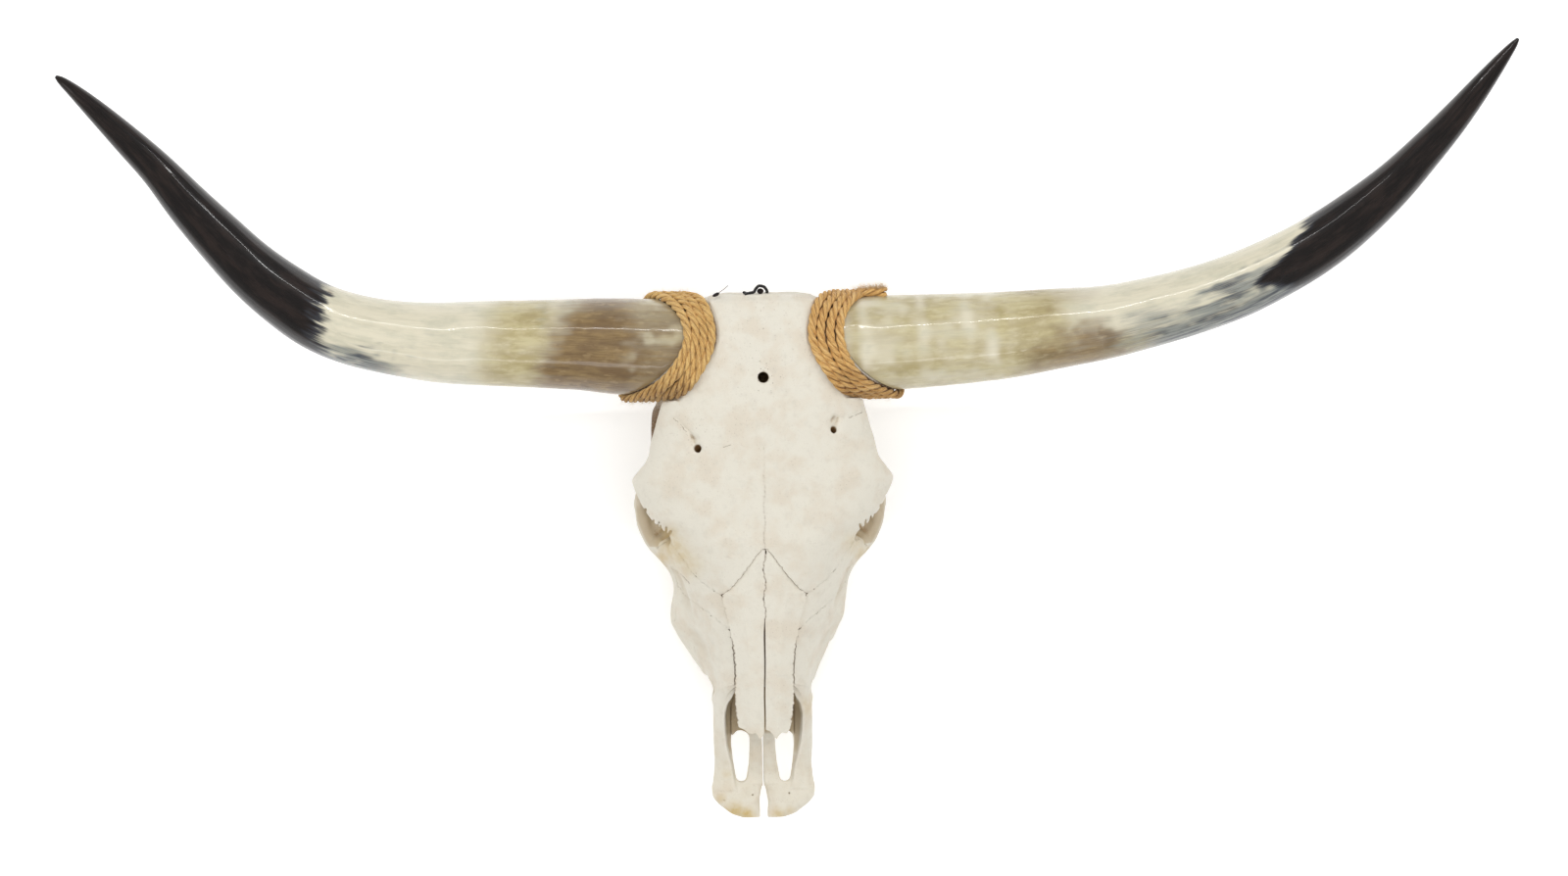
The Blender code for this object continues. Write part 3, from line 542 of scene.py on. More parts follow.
def face_ring(t, middle, shoulder, shoulder_z, wide, wide_z, tooth, tooth_z, roof):
    """One cross-section of the face, hollow below between the tooth rows."""
    arch = 0.08 + 0.24 * min(1, max(0, (t - 240) / 45))
    return both_sides([
        (0, middle), (0.55 * shoulder, middle - arch * (middle - shoulder_z)), (shoulder, shoulder_z),
        (0.5 * (shoulder + wide) - 0.5, 0.52 * shoulder_z + 0.48 * wide_z), (wide - 1, wide_z + 7),
        (wide, wide_z), (wide - 6, wide_z - 11), (tooth + 1.5, tooth_z + 10), (tooth, tooth_z),
        (tooth - 22, tooth_z), (tooth - 27, roof - 6), (0.35 * (tooth - 27), roof), (0, roof),
    ])


def channel(rows, corner):
    """A passage along t; each row is t, half width, floor and height."""
    return loft([
        (t, [(-width, low + corner), (-0.65 * width, low), (0.65 * width, low), (width, low + corner),
             (0.85 * width, low + tall), (-0.85 * width, low + tall)])
        for t, width, low, tall in rows
    ])


def chewing_height(t):
    """Height of the chewing plane, level under the back of the last molar."""
    return np.maximum(0.0, (t - TOOTH_ROW_START - 8) * CHEWING_SLOPE)


def sheath_edge(sine, cosine):
    """Distance from the midline of a sheath's edge; the sine is 1 at the front of the horn."""
    return 109.75 - 24 * sine - 13.5 * cosine + 8.75 * (cosine ** 2 - sine ** 2)


def wrap_width(sine, cosine):
    """Width of the rope winding."""
    return 33 + cosine - sine


def wrap_radius(sine, cosine, across):
    """Inner radius of the winding; it rises where the neck joins the forehead."""
    rise = np.where(sine > 0, (2 * sine * cosine) ** 4, 0)
    neck = NECK_RADIUS - LOW_SIDE * slope_to(-cosine, 0.6, 1)
    return neck + ROPE_BULGE * rise * np.clip(across, 0, 1)


def round_the_neck(x, t, z):
    """Radius, sine, cosine and share across the winding for places near a horn's neck."""
    radius = np.sqrt((t - HORN_T) ** 2 + (z - HORN_Z) ** 2) + 1e-3
    sine, cosine = (z - HORN_Z) / radius, (HORN_T - t) / radius
    across = (sheath_edge(sine, cosine) - GAP - np.abs(x)) / wrap_width(sine, cosine)
    return radius, sine, cosine, across


def rope_groove(x, t, z):
    """Distance from the room that the rope winding takes."""
    radius, sine, cosine, across = round_the_neck(x, t, z)
    inner = wrap_radius(sine, cosine, across)
    sides = np.maximum(across - 1.02, -across - 0.3) * 35
    return within(inner - 0.3 - radius, sides, radius - inner - 9.8).astype(np.float32)


def horn_stub(x, t, z):
    """Distance from the room beyond the sheath's edge, where the horn itself takes over."""
    radius, sine, cosine, across = round_the_neck(x, t, z)
    edge = 105 + (sheath_edge(sine, cosine) - 105) * np.minimum(radius / NECK_RADIUS, 1.6)
    return np.maximum((edge - np.abs(x)) * 0.75, radius - 75).astype(np.float32)


def skull_clay(step):
    """The braincase, forehead and face in one block, alike on both sides."""
    half = Clay((0, -8, -4), (139, 435, 206), step)
    add, cut = half.add, half.cut
    add(loft([(row[0], forehead_ring(*row[1:])) for row in FOREHEAD]))
    add(loft([(row[0], braincase_ring(*row[1:])) for row in BRAINCASE], 2), 8)
    add(loft([(row[0], face_ring(*row)) for row in FACE], curve=3), 7)
    add(lump((0, 62, 76), (64, 38, 22)), 8)
    add(lump((0, 215, 118), (44, 48, 42)), 6)
    add(limb([(10, 49, 150, 43), (70, 49, 150, 46.4), (100, 48, 150, 46.2), (138, 47, 150, 44)]), 9)

    # Back of the head: crest between the horns, neck muscle scars, condyles and processes
    add(lump((0, 7, 170), (17, 8, 15)), 8)
    add(limb([(0, 3.5, 161, 4), (30, 3, 160, 5), (55, 10, 150, 5), (72, 26, 124, 6), (82, 50, 100, 7)]), 8)
    cut(lump((27, 1, 132), (20, 9, 17)), 9)
    add(limb([(0, 6, 160, 3), (0, 10, 128, 3), (0, 16, 104, 3.5)]), 7)
    add(lump((27, 30, 54), (14, 15, 23), (20, 14, 0)), 8)
    add(lump((25, 20, 66), (10, 10, 13), (40, 10, 0)), 7)
    add(limb([(64, 44, 88, 14), (61, 52, 52, 9.5), (58, 60, 22, 7), (56, 63, -2, 6)]), 8)
    add(lump((61, 50, 46), (5, 14, 26), (-12, 0, 18)), 6)

    # Underneath: the skull's floor, ear bulla, jaw joint, plates behind the palate
    add(limb([(0, 30, 58, 12), (0, 80, 64, 14), (0, 150, 70, 10), (0, 236, 78, 8)]), 8)
    add(lump((9, 74, 52), (8, 9, 7)), 6)
    add(lump((38, 100, 53), (10.5, 18, 19), (0, 10, 0)), 7)
    add(limb([(42, 112, 50, 5), (44, 122, 38, 2.6), (45, 127, 30, 1.4)]), 4)
    add(lump((82, 84, 88), (20, 30, 21)), 10)
    add(lump((80, 128, 82), (25, 11, 8)), 7)
    add(limb([(74, 112, 80, 6), (70, 109, 68, 4.5)]), 5)
    add(lump((23, 212, 60), (3.6, 30, 22), (0, 0, -4)), 5)
    add(limb([(22, 182, 74, 4), (22, 194, 52, 3.6), (22, 192, 34, 3), (25, 184, 28, 2.6)]), 5)
    add(limb([(0, 236, 70, 4), (0, 260, 56, 4)]), 5)

    # Cheekbone, its arch, the floor of the eye socket and the ridge that runs forward from it
    cut(lump((106, 213, 114), (38, 27, 26), (-4, 0, -8)), 5)
    cut(lump((107, 147, 119), (38, 32, 37), (0, 0, -12)), 7)
    cut(lump((88, 184, 112), (15, 24, 21)), 6)
    cut(lump((84, 160, 64), (25, 24, 24)), 8)
    add(lump((90, 226, 79), (24, 30, 10), (0, 0, 22)), 5)
    add(lump((78, 224, 92), (14, 22, 14)), 7)
    add(limb([
        (74, 284, 78, 8), (84, 261, 80, 8), (96.5, 246.5, 82, 7.2), (107.5, 233.5, 83.5, 7),
        (114.4, 216, 85, 6.8), (116.4, 198, 86.5, 6.6), (111.5, 178, 87, 6.6), (100.6, 150, 87, 6.2),
        (99, 130, 87, 6.6), (97.2, 112, 87, 7.2), (88, 101, 87, 9),
    ]), 4)
    add(limb([
        (84, 254, 71, 7), (98, 232, 72, 6.6), (107, 210, 74, 6), (107, 180, 77, 5.6), (102, 150, 78, 5.4),
        (92, 122, 79, 6),
    ]), 6)
    add(limb([(113, 180, 140, 6), (114.6, 186, 124, 5.2), (116.4, 193, 104, 5.2), (115, 200, 88, 6.4)]), 5)
    add(limb([(80, 262, 70, 6.5), (76, 300, 68, 6.5), (66, 332, 61, 6)]), 8)
    add(limb([(76, 252, 116, 9), (85, 243.5, 111, 8), (91.5, 238, 104.5, 5)]), 5)
    add(limb([(84, 254, 104, 10), (94, 246, 98, 8), (100.5, 239.5, 93, 5.5)]), 5)
    cut(lump((76, 345, 88), (16, 26, 14), (0, 30, 12)), 14)
    cut(lump((88, 292, 98), (13, 24, 13), (0, 30, 12)), 14)

    # Root bulges over the cheek teeth
    start = TOOTH_ROW_START
    for length, middle, width in CHEEK_TEETH:
        for share in (0.27, 0.73):
            t = start + share * length
            low = chewing_height(t)
            side = min(middle + width / 2, read_off(FACE, t, 4) - 4)
            add(limb([(side - 1, t, low + 22, 3.2), (side - 2, t, low + 38, 2.2)]), 4)
        start += length

    # Openings: spinal canal, throat, nose, passages for nerves and vessels
    cut(limb([(0, 12, 70, 20), (0, 40, 77, 18.5), (0, 68, 86, 16.5)]), 3)
    cut(lump((0, 102, 112), (36, 50, 30)), 4)
    cut(channel([(188, 15, 42, 30), (240, 17, 50, 30), (300, 22, 56, 40)], 8), 2)
    cut(channel(NOSE_CHANNEL, 12), 2)
    add(fading(snout_arm(SNOUT_ARM[:5]), -1), 5)
    for path, soft in (
        ([(74, 372, 78, 5), (58, 378, 71, 5), (40, 385, 67, 4)], 3),
        ([(112, 88, 84, 4), (96, 88, 85, 4.6), (70, 88, 87, 3)], 2),
        ([(82, 206, 100, 3.5), (58, 196, 96, 3)], 2),
        ([(70, 186, 86, 5.5), (46, 176, 82, 4)], 2),
        ([(20, 296, 40, 3), (20, 299, 56, 2.5)], 2),
        ([(46, 84, 46, 4), (44, 82, 62, 3)], 2),
        ([(24, 52, 50, 2.6), (16, 56, 66, 2)], 2),
        ([(74, 236, 110, 2.6), (66, 248, 108, 2)], 1),
    ):
        cut(limb(path), soft)
    add(limb([(101, 84, 82, 3), (103, 88, 87, 3.2), (101, 92, 82, 3)]), 3)

    # The thin plate under the middle of the nose
    add(limb([(0, 250, 70, 2.4), (0, 330, 66, 2), (0, 420, 58, 1.8)]), 3)

    cut(((30, -8, 90), (139, 115, 206), rope_groove), 1.5)
    cut(((60, -8, 90), (139, 125, 206), horn_stub))
    whole = half.both_halves()

    # The hole that was drilled through the forehead
    whole.cut(limb([(0, 79, 210, 5.4), (0, 79, 150, 5.2)], 1), 0.6)
    return whole


def snout_arm_ring(outer, outer_z, shoulder, shoulder_z, rim, rim_z, inner, inner_z, under):
    """One cross-section of a premaxilla's outer arm, as x and z."""
    return [
        (outer, outer_z), (0.4 * outer + 0.6 * shoulder + 1.6, 0.4 * outer_z + 0.6 * shoulder_z),
        (shoulder, shoulder_z), (rim + 1, rim_z), (rim - 1, rim_z - 1.4),
        ((rim + inner) / 2 + 0.6, (rim_z + inner_z) / 2), (inner, inner_z), (inner + 2, under),
        (outer - 5, under),
    ]


def snout_arm(rows):
    """A stretch of a premaxilla's outer arm."""
    return loft([(row[0], snout_arm_ring(*row[1:])) for row in rows], curve=3)


def fading(shape, way):
    """A shape that shrinks away past the snout's suture: way is 1 forwards and -1 backwards."""
    low, high, distance = shape

    def faded(x, t, z):
        return distance(x, t, z) + 0.6 * np.maximum(way * beyond_snout_suture(t, z), 0)

    return low, high, faded


def snout_clay(step):
    """Both premaxillae in one block; the jaw's shapes fade out in it, so that they meet flush."""
    half = Clay((0, 364, 44), (54, 515, 118), step)
    half.add(snout_arm(SNOUT_ARM))
    low, high, jaw = loft([(row[0], face_ring(*row)) for row in FACE[-5:]], curve=3)
    nose = channel(NOSE_CHANNEL, 12)[2]
    half.add(fading((low, high, lambda x, t, z: np.maximum(jaw(x, t, z), -nose(x, t, z))), 1), 5)
    for rows, soft in ((SNOUT_PRONG, 2), (SNOUT_BODY, 3)):
        half.add(loft([
            (t, [(inner, low + 1), (inner, high - 1), (0.5 * (inner + outer), high), (outer, high - 3),
                 (outer, low + 3), (0.5 * (inner + outer), low)])
            for t, inner, outer, high, low in rows
        ]), soft)
    middle, near, far, radius, end_radius = SLOT

    def slot(x, t, z):
        narrowing = np.clip((t - near) / (far - near), 0, 1) ** 2 * (radius - end_radius)
        away = np.sqrt((x - middle) ** 2 + (t - np.clip(t, near, far)) ** 2)
        return (away - radius + narrowing + 0 * z).astype(np.float32)

    half.cut(((middle - radius, near - radius, 44), (middle + radius, far + radius, 118), slot), 1.6)
    half.add(limb([(36.5, 440, 73.5, 1), (33.5, 452, 70, 1), (30.5, 463, 66, 0.8)]), 3)
    whole = half.both_halves()

    # Small vessel holes near the tip
    for x, t in ((-11, 487), (25, 486), (47, 480), (-39, 492)):
        whole.cut(limb([(x, t, 70, 0.9), (x, t + 1, 63.5, 0.7)]), 0.8)
    return whole


def nasal_clay(side, step):
    """One nasal bone, a thin arched plate that ends in two worn points."""
    clay = Clay((min(0, side * 46) - 2, 240, 94), (max(0, side * 46) + 2, 436, 168), step)
    stations = []
    for t, half, middle, edge, thick in NASALS:
        inner = -0.8
        arch = middle + 0.3 * (edge - middle) * min(1, half / 20)
        mean = 0.55 * (half + inner)
        slope = (edge - arch) / max(4, half - mean)
        stations.append((t, [(side * x, z) for x, z in (
            (inner, middle), (mean, arch + 0.8), (half, edge + 0.5), (half + 2, edge + 0.5 + 2 * slope),
            (half + 2, edge - thick + 2 * slope), (mean, arch + 0.8 - thick), (inner, middle - thick),
        )]))
    clay.add(loft(stations, curve=0))
    return clay


# ---- small irregularities

def ripple(points, size, seed):
    """Smooth random values between -1 and 1 at places, with features of about a size."""
    values = np.random.default_rng(seed).uniform(-1, 1, (LATTICE,) * 3)
    place = np.asarray(points) / size + 100.5
    base = np.floor(place).astype(int)
    share = place - base
    share = share * share * (3 - 2 * share)
    made = 0
    for corner in np.ndindex(2, 2, 2):
        weight = np.prod(np.where(corner, share, 1 - share), -1)
        at = (base + corner) % LATTICE
        made = made + weight * values[at[..., 0], at[..., 1], at[..., 2]]
    return made


def weather(clay, seed, strength=1.0):
    """Give the clay's skin the gentle unevenness and the pores of dry bone."""
    near = np.abs(clay.depth) < 2.6 * clay.step
    index = np.argwhere(near)
    points = clay.low + clay.step * index
    uneven = sum(height * ripple(points, size, seed + i) for i, (height, size) in enumerate(UNEVENNESS))
    pores = ripple(points, PORE_SIZE, seed + 3) + 0.6 * ripple(points, 17, seed + 4)
    pores = np.clip(pores - 0.98, 0, 1)
    clay.depth[near] += (strength * (uneven + 2.4 * pores)).astype(np.float32)


def crowding(clay, reach):
    """How much bone lies around each place: about a half on open skin, more in a hollow."""
    coarse = Clay((0, 0, 0), (1, 1, 1), clay.step * 2)
    solid = np.pad((clay.depth[::2, ::2, ::2] < 0).astype(np.float32), 12)
    coarse.low = clay.low - 12 * coarse.step
    width = max(1, round(reach / coarse.step))
    for axis in (0, 1, 2):
        for turn in range(3):
            total = np.cumsum(solid, axis=axis)
            ahead, behind = np.roll(total, -width, axis), np.roll(total, width + 1, axis)
            solid = (ahead - behind) / (2 * width + 1)
            edge = [slice(None)] * 3
            for end in (slice(0, width + 1), slice(-width - 1, None)):
                edge[axis] = end
                solid[tuple(edge)] = 0
    coarse.depth = solid
    return coarse


def largest_body(points, quads):
    """The points and quads of a skin's largest body, without loose crumbs."""
    label = np.arange(len(points))
    pairs = np.concatenate([quads[:, [0, 1]], quads[:, [1, 2]], quads[:, [2, 3]]])
    while True:
        lowest = label.copy()
        low = np.minimum(label[pairs[:, 0]], label[pairs[:, 1]])
        np.minimum.at(lowest, pairs[:, 0], low)
        np.minimum.at(lowest, pairs[:, 1], low)
        lowest = lowest[lowest]
        if (lowest == label).all():
            break
        label = lowest
    wanted = label == np.bincount(label).argmax()
    renumber = np.cumsum(wanted) - 1
    return points[wanted], renumber[quads[wanted[quads[:, 0]]]]


# ---- where one bone meets the next

def slope_to(value, low, high):
    """0 below low, 1 above high, and smooth between."""
    share = np.clip((value - low) / (high - low), 0, 1)
    return share * share * (3 - 2 * share)


def suture_line(x, stations):
    """A border's place t for a distance x from the midline, and how steeply it runs."""
    at, places = zip(*stations)
    slope = (np.interp(x + 0.5, at, places) - np.interp(x - 0.5, at, places)).astype(np.float32)
    return np.interp(x, at, places).astype(np.float32), np.sqrt(1 + slope ** 2)


def jagged(x, t, z):
    """The small zigzag of a suture, in millimetres."""
    return 0.55 * np.sin(1.3 * x + 2.1 * np.sin(0.37 * t + 0.2 * z)) * np.cos(0.9 * t + 0.5 * z)


def beyond_forehead(x, t, z):
    """Negative in the forehead bones with their horn necks, positive in the others."""
    side = np.abs(x)
    front, steep = suture_line(side, [
        (0, 252), (16, 268), (25, 280), (34.5, 289), (42.5, 287), (60, 275), (70, 264), (78, 252), (86, 240),
        (93, 232), (140, 226),
    ])
    floor = 122 - 28 * slope_to(side, 44, 62) * (1 - slope_to(t, 104, 124))
    floor = floor + 38 * (1 - slope_to(side, 40, 60)) * (1 - slope_to(t, 12, 40))
    return np.maximum((t - front) / steep, floor - z) + jagged(x, t, z)


def beyond_braincase(x, t, z):
    """Negative in the braincase with the back of the cheek arch."""
    side = np.abs(x)
    back = 233 - 79 * slope_to(side, 68, 82) + 0.9 * slope_to(side, 68, 82) * (z - 84)
    return (t - back) * 0.8 + jagged(x, t, z)


def beyond_back_of_head(x, t, z):
    """Negative in the bone round the spinal opening, positive in the rest of the braincase."""
    front = 36 + 56 * (1 - slope_to(np.abs(x), 24, 38)) * (1 - slope_to(z, 64, 92))
    return (t - front) * 0.8 + jagged(x, t, z)


def beyond_cheekbone(x, t, z):
    """Negative in the cheekbone."""
    side = np.abs(x)
    inner = np.interp(t, [150, 205, 236, 262, 300, 318], [40, 76, 86, 78, 66, 58]).astype(np.float32)
    top = np.interp(t, [150, 226, 244, 262, 300, 318], [140, 124, 97, 90, 78, 72]).astype(np.float32)
    return within(inner - side, z - top, 61 - z, t - 315) + jagged(x, t, z)


def beyond_tear_bone(x, t, z):
    """Negative in the lacrimal bone, in front of the eye socket."""
    side = np.abs(x)
    front, steep = suture_line(side, [
        (0, 326), (34, 322), (40, 316), (60, 300), (76, 288), (84, 276), (92, 262), (140, 240),
    ])
    return np.maximum((t - front) / steep, 86 - z) + jagged(x, t, z)


def beyond_snout_suture(t, z):
    """Negative in the face, positive in the premaxillae."""
    return (t - SUTURE_T - (z - SUTURE_Z) * SUTURE_LEAN) * 0.94


def beyond_palate(x, t, z):
    """Negative in the jaws' palate and nose scrolls, which reach in between the premaxillae."""
    side = PALATE_X - 6.5 * slope_to(z, 62, 68)
    return np.maximum(np.abs(x) - side, t - PALATE_T - 5 * slope_to(np.abs(x), 24, 31))


def nasal_border(x, t):
    """Distance outwards from the wavy outer edge of the nasal bones."""
    half = read_off(NASALS, t, 1).astype(np.float32)
    return np.abs(x) - half + 0.55 * np.sin(0.8 * t) * np.cos(0.23 * t) + 0.25 * np.sin(1.7 * t)


def nasal_gap(t):
    """Half the width of the crack beside a nasal bone, open only over its middle part."""
    return 0.03 + 0.45 * slope_to(t, 330, 342) * (1 - slope_to(t, 374, 386))


def nasal_seam(t):
    """The wandering seam between the two nasal bones."""
    waves = 1.2 * np.sin(0.21 * t) + 0.4 * np.sin(0.9 * t)
    return waves * (1 - slope_to(t, 296, 322)) + 0.2 * np.sin(0.11 * t)


def nasal_bed(x, t, z):
    """Distance from the room that the nasal bones lie in."""
    half, middle, edge, thick = (read_off(NASALS, t, column).astype(np.float32) for column in (1, 2, 3, 4))
    share = np.clip(np.abs(x) / half, 0, 1.1)
    under = middle + (edge - middle) * share ** 2 - thick - 1.2
    return within(under - z, nasal_border(x, t) - nasal_gap(t), NASALS[0][0] - 0.3 - t)


def midline(t):
    """The wandering seam between the left and right bones of the forehead."""
    return 0.7 * np.sin(0.21 * t) * slope_to(t, 140, 190) + 0.2 * np.sin(0.9 * t)


def bone_regions():
    """Each bone of the big block: name, box, and a function that is negative in that bone."""
    half = SEAM_GAP / 2

    def shared(*walls):
        return within(*walls) + half

    def forehead(side, x, t, z):
        seam = -side * (x - midline(t)) - 0.03 + 0.03 * slope_to(t, 150, 200)
        return shared(beyond_forehead(x, t, z), seam, -nasal_bed(x, t, z) - half)

    def back_of_head(side, x, t, z):
        return shared(-beyond_forehead(x, t, z), beyond_back_of_head(x, t, z))

    def braincase(side, x, t, z):
        return shared(-beyond_forehead(x, t, z), beyond_braincase(x, t, z), -beyond_back_of_head(x, t, z))

    def forward(side, x, t, z):
        behind = np.minimum(beyond_forehead(x, t, z), beyond_braincase(x, t, z))
        return shared(-behind, -side * x, -nasal_bed(x, t, z) - half) - half

    def cheekbone(side, x, t, z):
        return shared(forward(side, x, t, z), beyond_cheekbone(x, t, z))

    def tear_bone(side, x, t, z):
        return shared(forward(side, x, t, z), -beyond_cheekbone(x, t, z), beyond_tear_bone(x, t, z))

    def jaw(side, x, t, z):
        others = np.minimum(beyond_cheekbone(x, t, z), beyond_tear_bone(x, t, z))
        end = np.minimum(beyond_snout_suture(t, z), beyond_palate(x, t, z))
        return shared(forward(side, x, t, z), -others, end - half)

    regions = [
        ("back_of_head", 0, (-130, -8, -4), (130, 104, 180), back_of_head),
        ("braincase", 0, (-130, 20, -4), (130, 262, 180), braincase),
    ]
    for side, name in SIDES:
        low, high = (-139, 2) if side < 0 else (-2, 139)
        for bone, start, end, low_z, high_z, region in (
            ("frontal_bone", -8, 290, 80, 206, forehead), ("cheekbone", 140, 324, 50, 140, cheekbone),
            ("tear_bone", 210, 334, 76, 160, tear_bone), ("upper_jaw", 215, 435, 10, 160, jaw),
        ):
            regions.append((bone + "_" + name, side, (low, start, low_z), (high, end, high_z), region))
    return [
        (name, low, high, lambda x, t, z, side=side, region=region: region(side, x, t, z).astype(np.float32))
        for name, side, low, high, region in regions
    ]


def crisp(points, clay, region):
    """Pull the rounded-off points along a seam out to the sharp edge between skin and seam."""
    reach = 0.7 * clay.step
    near = (np.abs(clay.feel(points)) < reach) & (np.abs(region(*points.T)) < reach)
    moved = points[near]
    for _ in range(3):
        for measure in (clay.feel, lambda places: region(*places.T)):
            slope = np.stack([
                (measure(moved + push) - measure(moved - push)) / 0.6 for push in 0.3 * np.eye(3)
            ], 1)
            step = measure(moved) / np.maximum((slope ** 2).sum(1), 0.3)
            moved = moved - slope * np.clip(step, -clay.step, clay.step)[:, None]
    made = points.copy()
    made[near] = moved
    return made


# ---- teeth

def cheek_teeth():
    """Each cheek tooth: its outline as x and t, and the paths of the cups in its chewing face."""
    start = TOOTH_ROW_START
    for number, (length, middle, width) in enumerate(CHEEK_TEETH):
        outline, lobes = PREMOLAR, ((0.2, 0.8),)
        if number < MOLARS:
            outline, lobes = MOLAR, ((0.08, 0.44), (0.56, 0.92))
        corners = [(middle + across * width, start + along * length) for along, across in outline]
        ring = rounded(np.array(corners), 3)
        inner, outer = middle + 0.14 * width, middle - 0.16 * width
        cups = [
            [(inner, start + a * length), (outer, start + (a + b) / 2 * length), (inner, start + b * length)]
            for a, b in lobes
        ]
        yield ring, cups
        start += length


def tooth_sockets():
    """The shapes that are cut from the jaw for the teeth."""
    for ring, cups in cheek_teeth():
        low, high = ring.min(0), ring.max(0)

        def distance(x, t, z, ring=ring):
            flat = ring_distance(ring, x[:, :, 0], t[:, :, 0])[:, :, None] - 0.4
            return np.maximum(flat, z - (chewing_height(t) + (TOOTH_HEIGHT + 0.5))).astype(np.float32)

        yield (low[0], low[1], 8), (high[0], high[1], 60), distance


def teeth_clay(step):
    """One row of cheek teeth with ridged sides and worn chewing faces."""
    clay = Clay((30, 246, -3), (74, 382, 48), step)
    for ring, cups in cheek_teeth():
        def distance(x, t, z, ring=ring, cups=cups):
            flat = ring_distance(ring, x[:, :, 0], t[:, :, 0])
            lowest = chewing_height(t[:, :, 0]) + 0.15
            worn = lowest + 1.3 * slope_to(-flat, 0.9, 2.6)
            for cup in cups:
                away = np.sqrt(np.min([
                    (x[:, :, 0] - px) ** 2 + (t[:, :, 0] - pt) ** 2 for px, pt in curve_through(cup, 9)
                ], 0))
                worn = worn - 1.25 * np.exp(-((away - 2.0) / 0.75) ** 2) + 4 * (1 - slope_to(away, 0.7, 1.5))
            worn = np.maximum(worn, lowest)[:, :, None]
            root = z - (chewing_height(t) + TOOTH_HEIGHT)
            return within(flat[:, :, None], (worn - z) * 0.8, root).astype(np.float32)

        clay.add(((*ring.min(0), -1), (*ring.max(0), 46), distance))
    return clay


# ---- horns, rope and wire

def unit(vectors):
    """The same directions as vectors of length 1."""
    return vectors / np.linalg.norm(vectors, axis=-1, keepdims=True)


def run_along(path):
    """Distance along a path at each of its points."""
    return np.concatenate([[0], np.cumsum(np.linalg.norm(np.diff(path, axis=0), axis=1))])


def full_turn(sides):
    """Angles of points spread evenly round a ring."""
    return np.arange(sides) * 2 * math.pi / sides


def tube_faces(rows, sides):
    """Quads of a tube made of rows of points."""
    row, side = np.meshgrid(np.arange(rows - 1), np.arange(sides), indexing="ij")
    start, beside = row * sides, (side + 1) % sides
    corners = [start + side, start + sides + side, start + sides + beside, start + beside]
    return np.stack(corners, -1).reshape(-1, 4)


def end_caps(rows, sides, hub):
    """Triangles that close a tube's two ends round the points number hub and hub + 1."""
    ring, last = np.arange(sides), (rows - 1) * sides
    return np.concatenate([
        np.stack([np.roll(ring, -1), ring, np.full(sides, hub)], -1),
        np.stack([last + ring, last + np.roll(ring, -1), np.full(sides, hub + 1)], -1),
    ])


def smooth_axis(points, steps):
    """A horn's axis and radius as many evenly spaced rows, and the distance run at each row."""
    run = run_along(points[:, :3])
    fine = np.linspace(0, run[-1], steps)
    path = flow(run, points, fine)
    kernel = np.exp(-0.5 * (np.arange(-24, 25) / 9.0) ** 2)
    padded = np.concatenate([2 * path[0] - path[24:0:-1], path, 2 * path[-1] - path[-2:-26:-1]])
    smooth = np.stack([np.convolve(padded[:, i], kernel / kernel.sum(), "valid") for i in range(4)], 1)
    fade = np.clip((fine[-1] - fine) / 40, 0, 1)[:, None]
    return smooth * fade + path * (1 - fade), fine


def horn_skin(points, rings, sides, seed):
    """One horn sheath: its points and faces, and each point's distance from the midline, side and grain."""
    points = np.array(points, float)
    side = np.sign(points[-1, 0])
    path, fine = smooth_axis(points, 900)
    turn = full_turn(sides)
    sine, cosine = np.sin(turn), np.cos(turn)
    start = np.interp(sheath_edge(sine, cosine) + GAP, np.abs(path[:, 0]), fine)
    share = np.linspace(0, 1, rings)[:, None] ** 1.04
    at = start + (fine[-1] - start) * share
    centre = np.stack([np.interp(at, fine, path[:, i]) for i in range(3)], -1)
    radius = np.interp(at, fine, path[:, 3])
    tangent = np.gradient(path[:, :3], fine, axis=0)
    tangent = unit(np.stack([np.interp(at, fine, tangent[:, i]) for i in range(3)], -1))
    crownward = unit(np.cross(tangent, (0, 0, 1.0)) * side)
    upward = np.cross(crownward, tangent) * side

    # Growth rings near the base, long ridges and a slow unevenness
    grain = np.stack([at, 40 * cosine + 0 * at, 40 * sine + 0 * at], -1)
    base = np.exp(-(at - at.min()) / 110)
    ridges = ripple(grain * (0.05, 1, 1), 1.9, seed + 2)
    relief = 0.55 * base * ripple(grain * (1, 0.12, 0.12), 7.0, seed)
    relief += 0.5 * ripple(grain, 46, seed + 1) + (0.10 + 0.12 * base) * ridges
    relief *= np.clip(radius / 22, 0.1, 1) * np.clip((at - start) / 6, 0.2, 1)
    radius = radius + relief
    skin = centre + radius[..., None] * (crownward * cosine[:, None] + upward * sine[:, None])
    skin = skin.reshape(-1, 3)
    hubs = np.array([[side * 100.0, HORN_T, HORN_Z], path[-1, :3] + tangent[-1, 0] * 0.5])
    faces = [tube_faces(rings, sides), end_caps(rings, sides, len(skin))[:, [1, 0, 2]]]
    if side < 0:
        faces = [part[:, ::-1] for part in faces]
    reach = np.append(np.abs(centre[..., 0]), [90, abs(path[-1, 0])])
    nose = np.append(-cosine + 0 * at, [0, 0])
    grain = np.concatenate([grain.reshape(-1, 3), [[at.min(), 0, 0], [at.max(), 0, 0]]])
    return np.concatenate([skin, hubs]), faces, reach, nose, grain


def spread(value, middle, half, soft):
    """1 within half of the middle, fading to 0 over soft."""
    return 1 - slope_to(np.abs(value - middle), half - soft / 2, half + soft / 2)


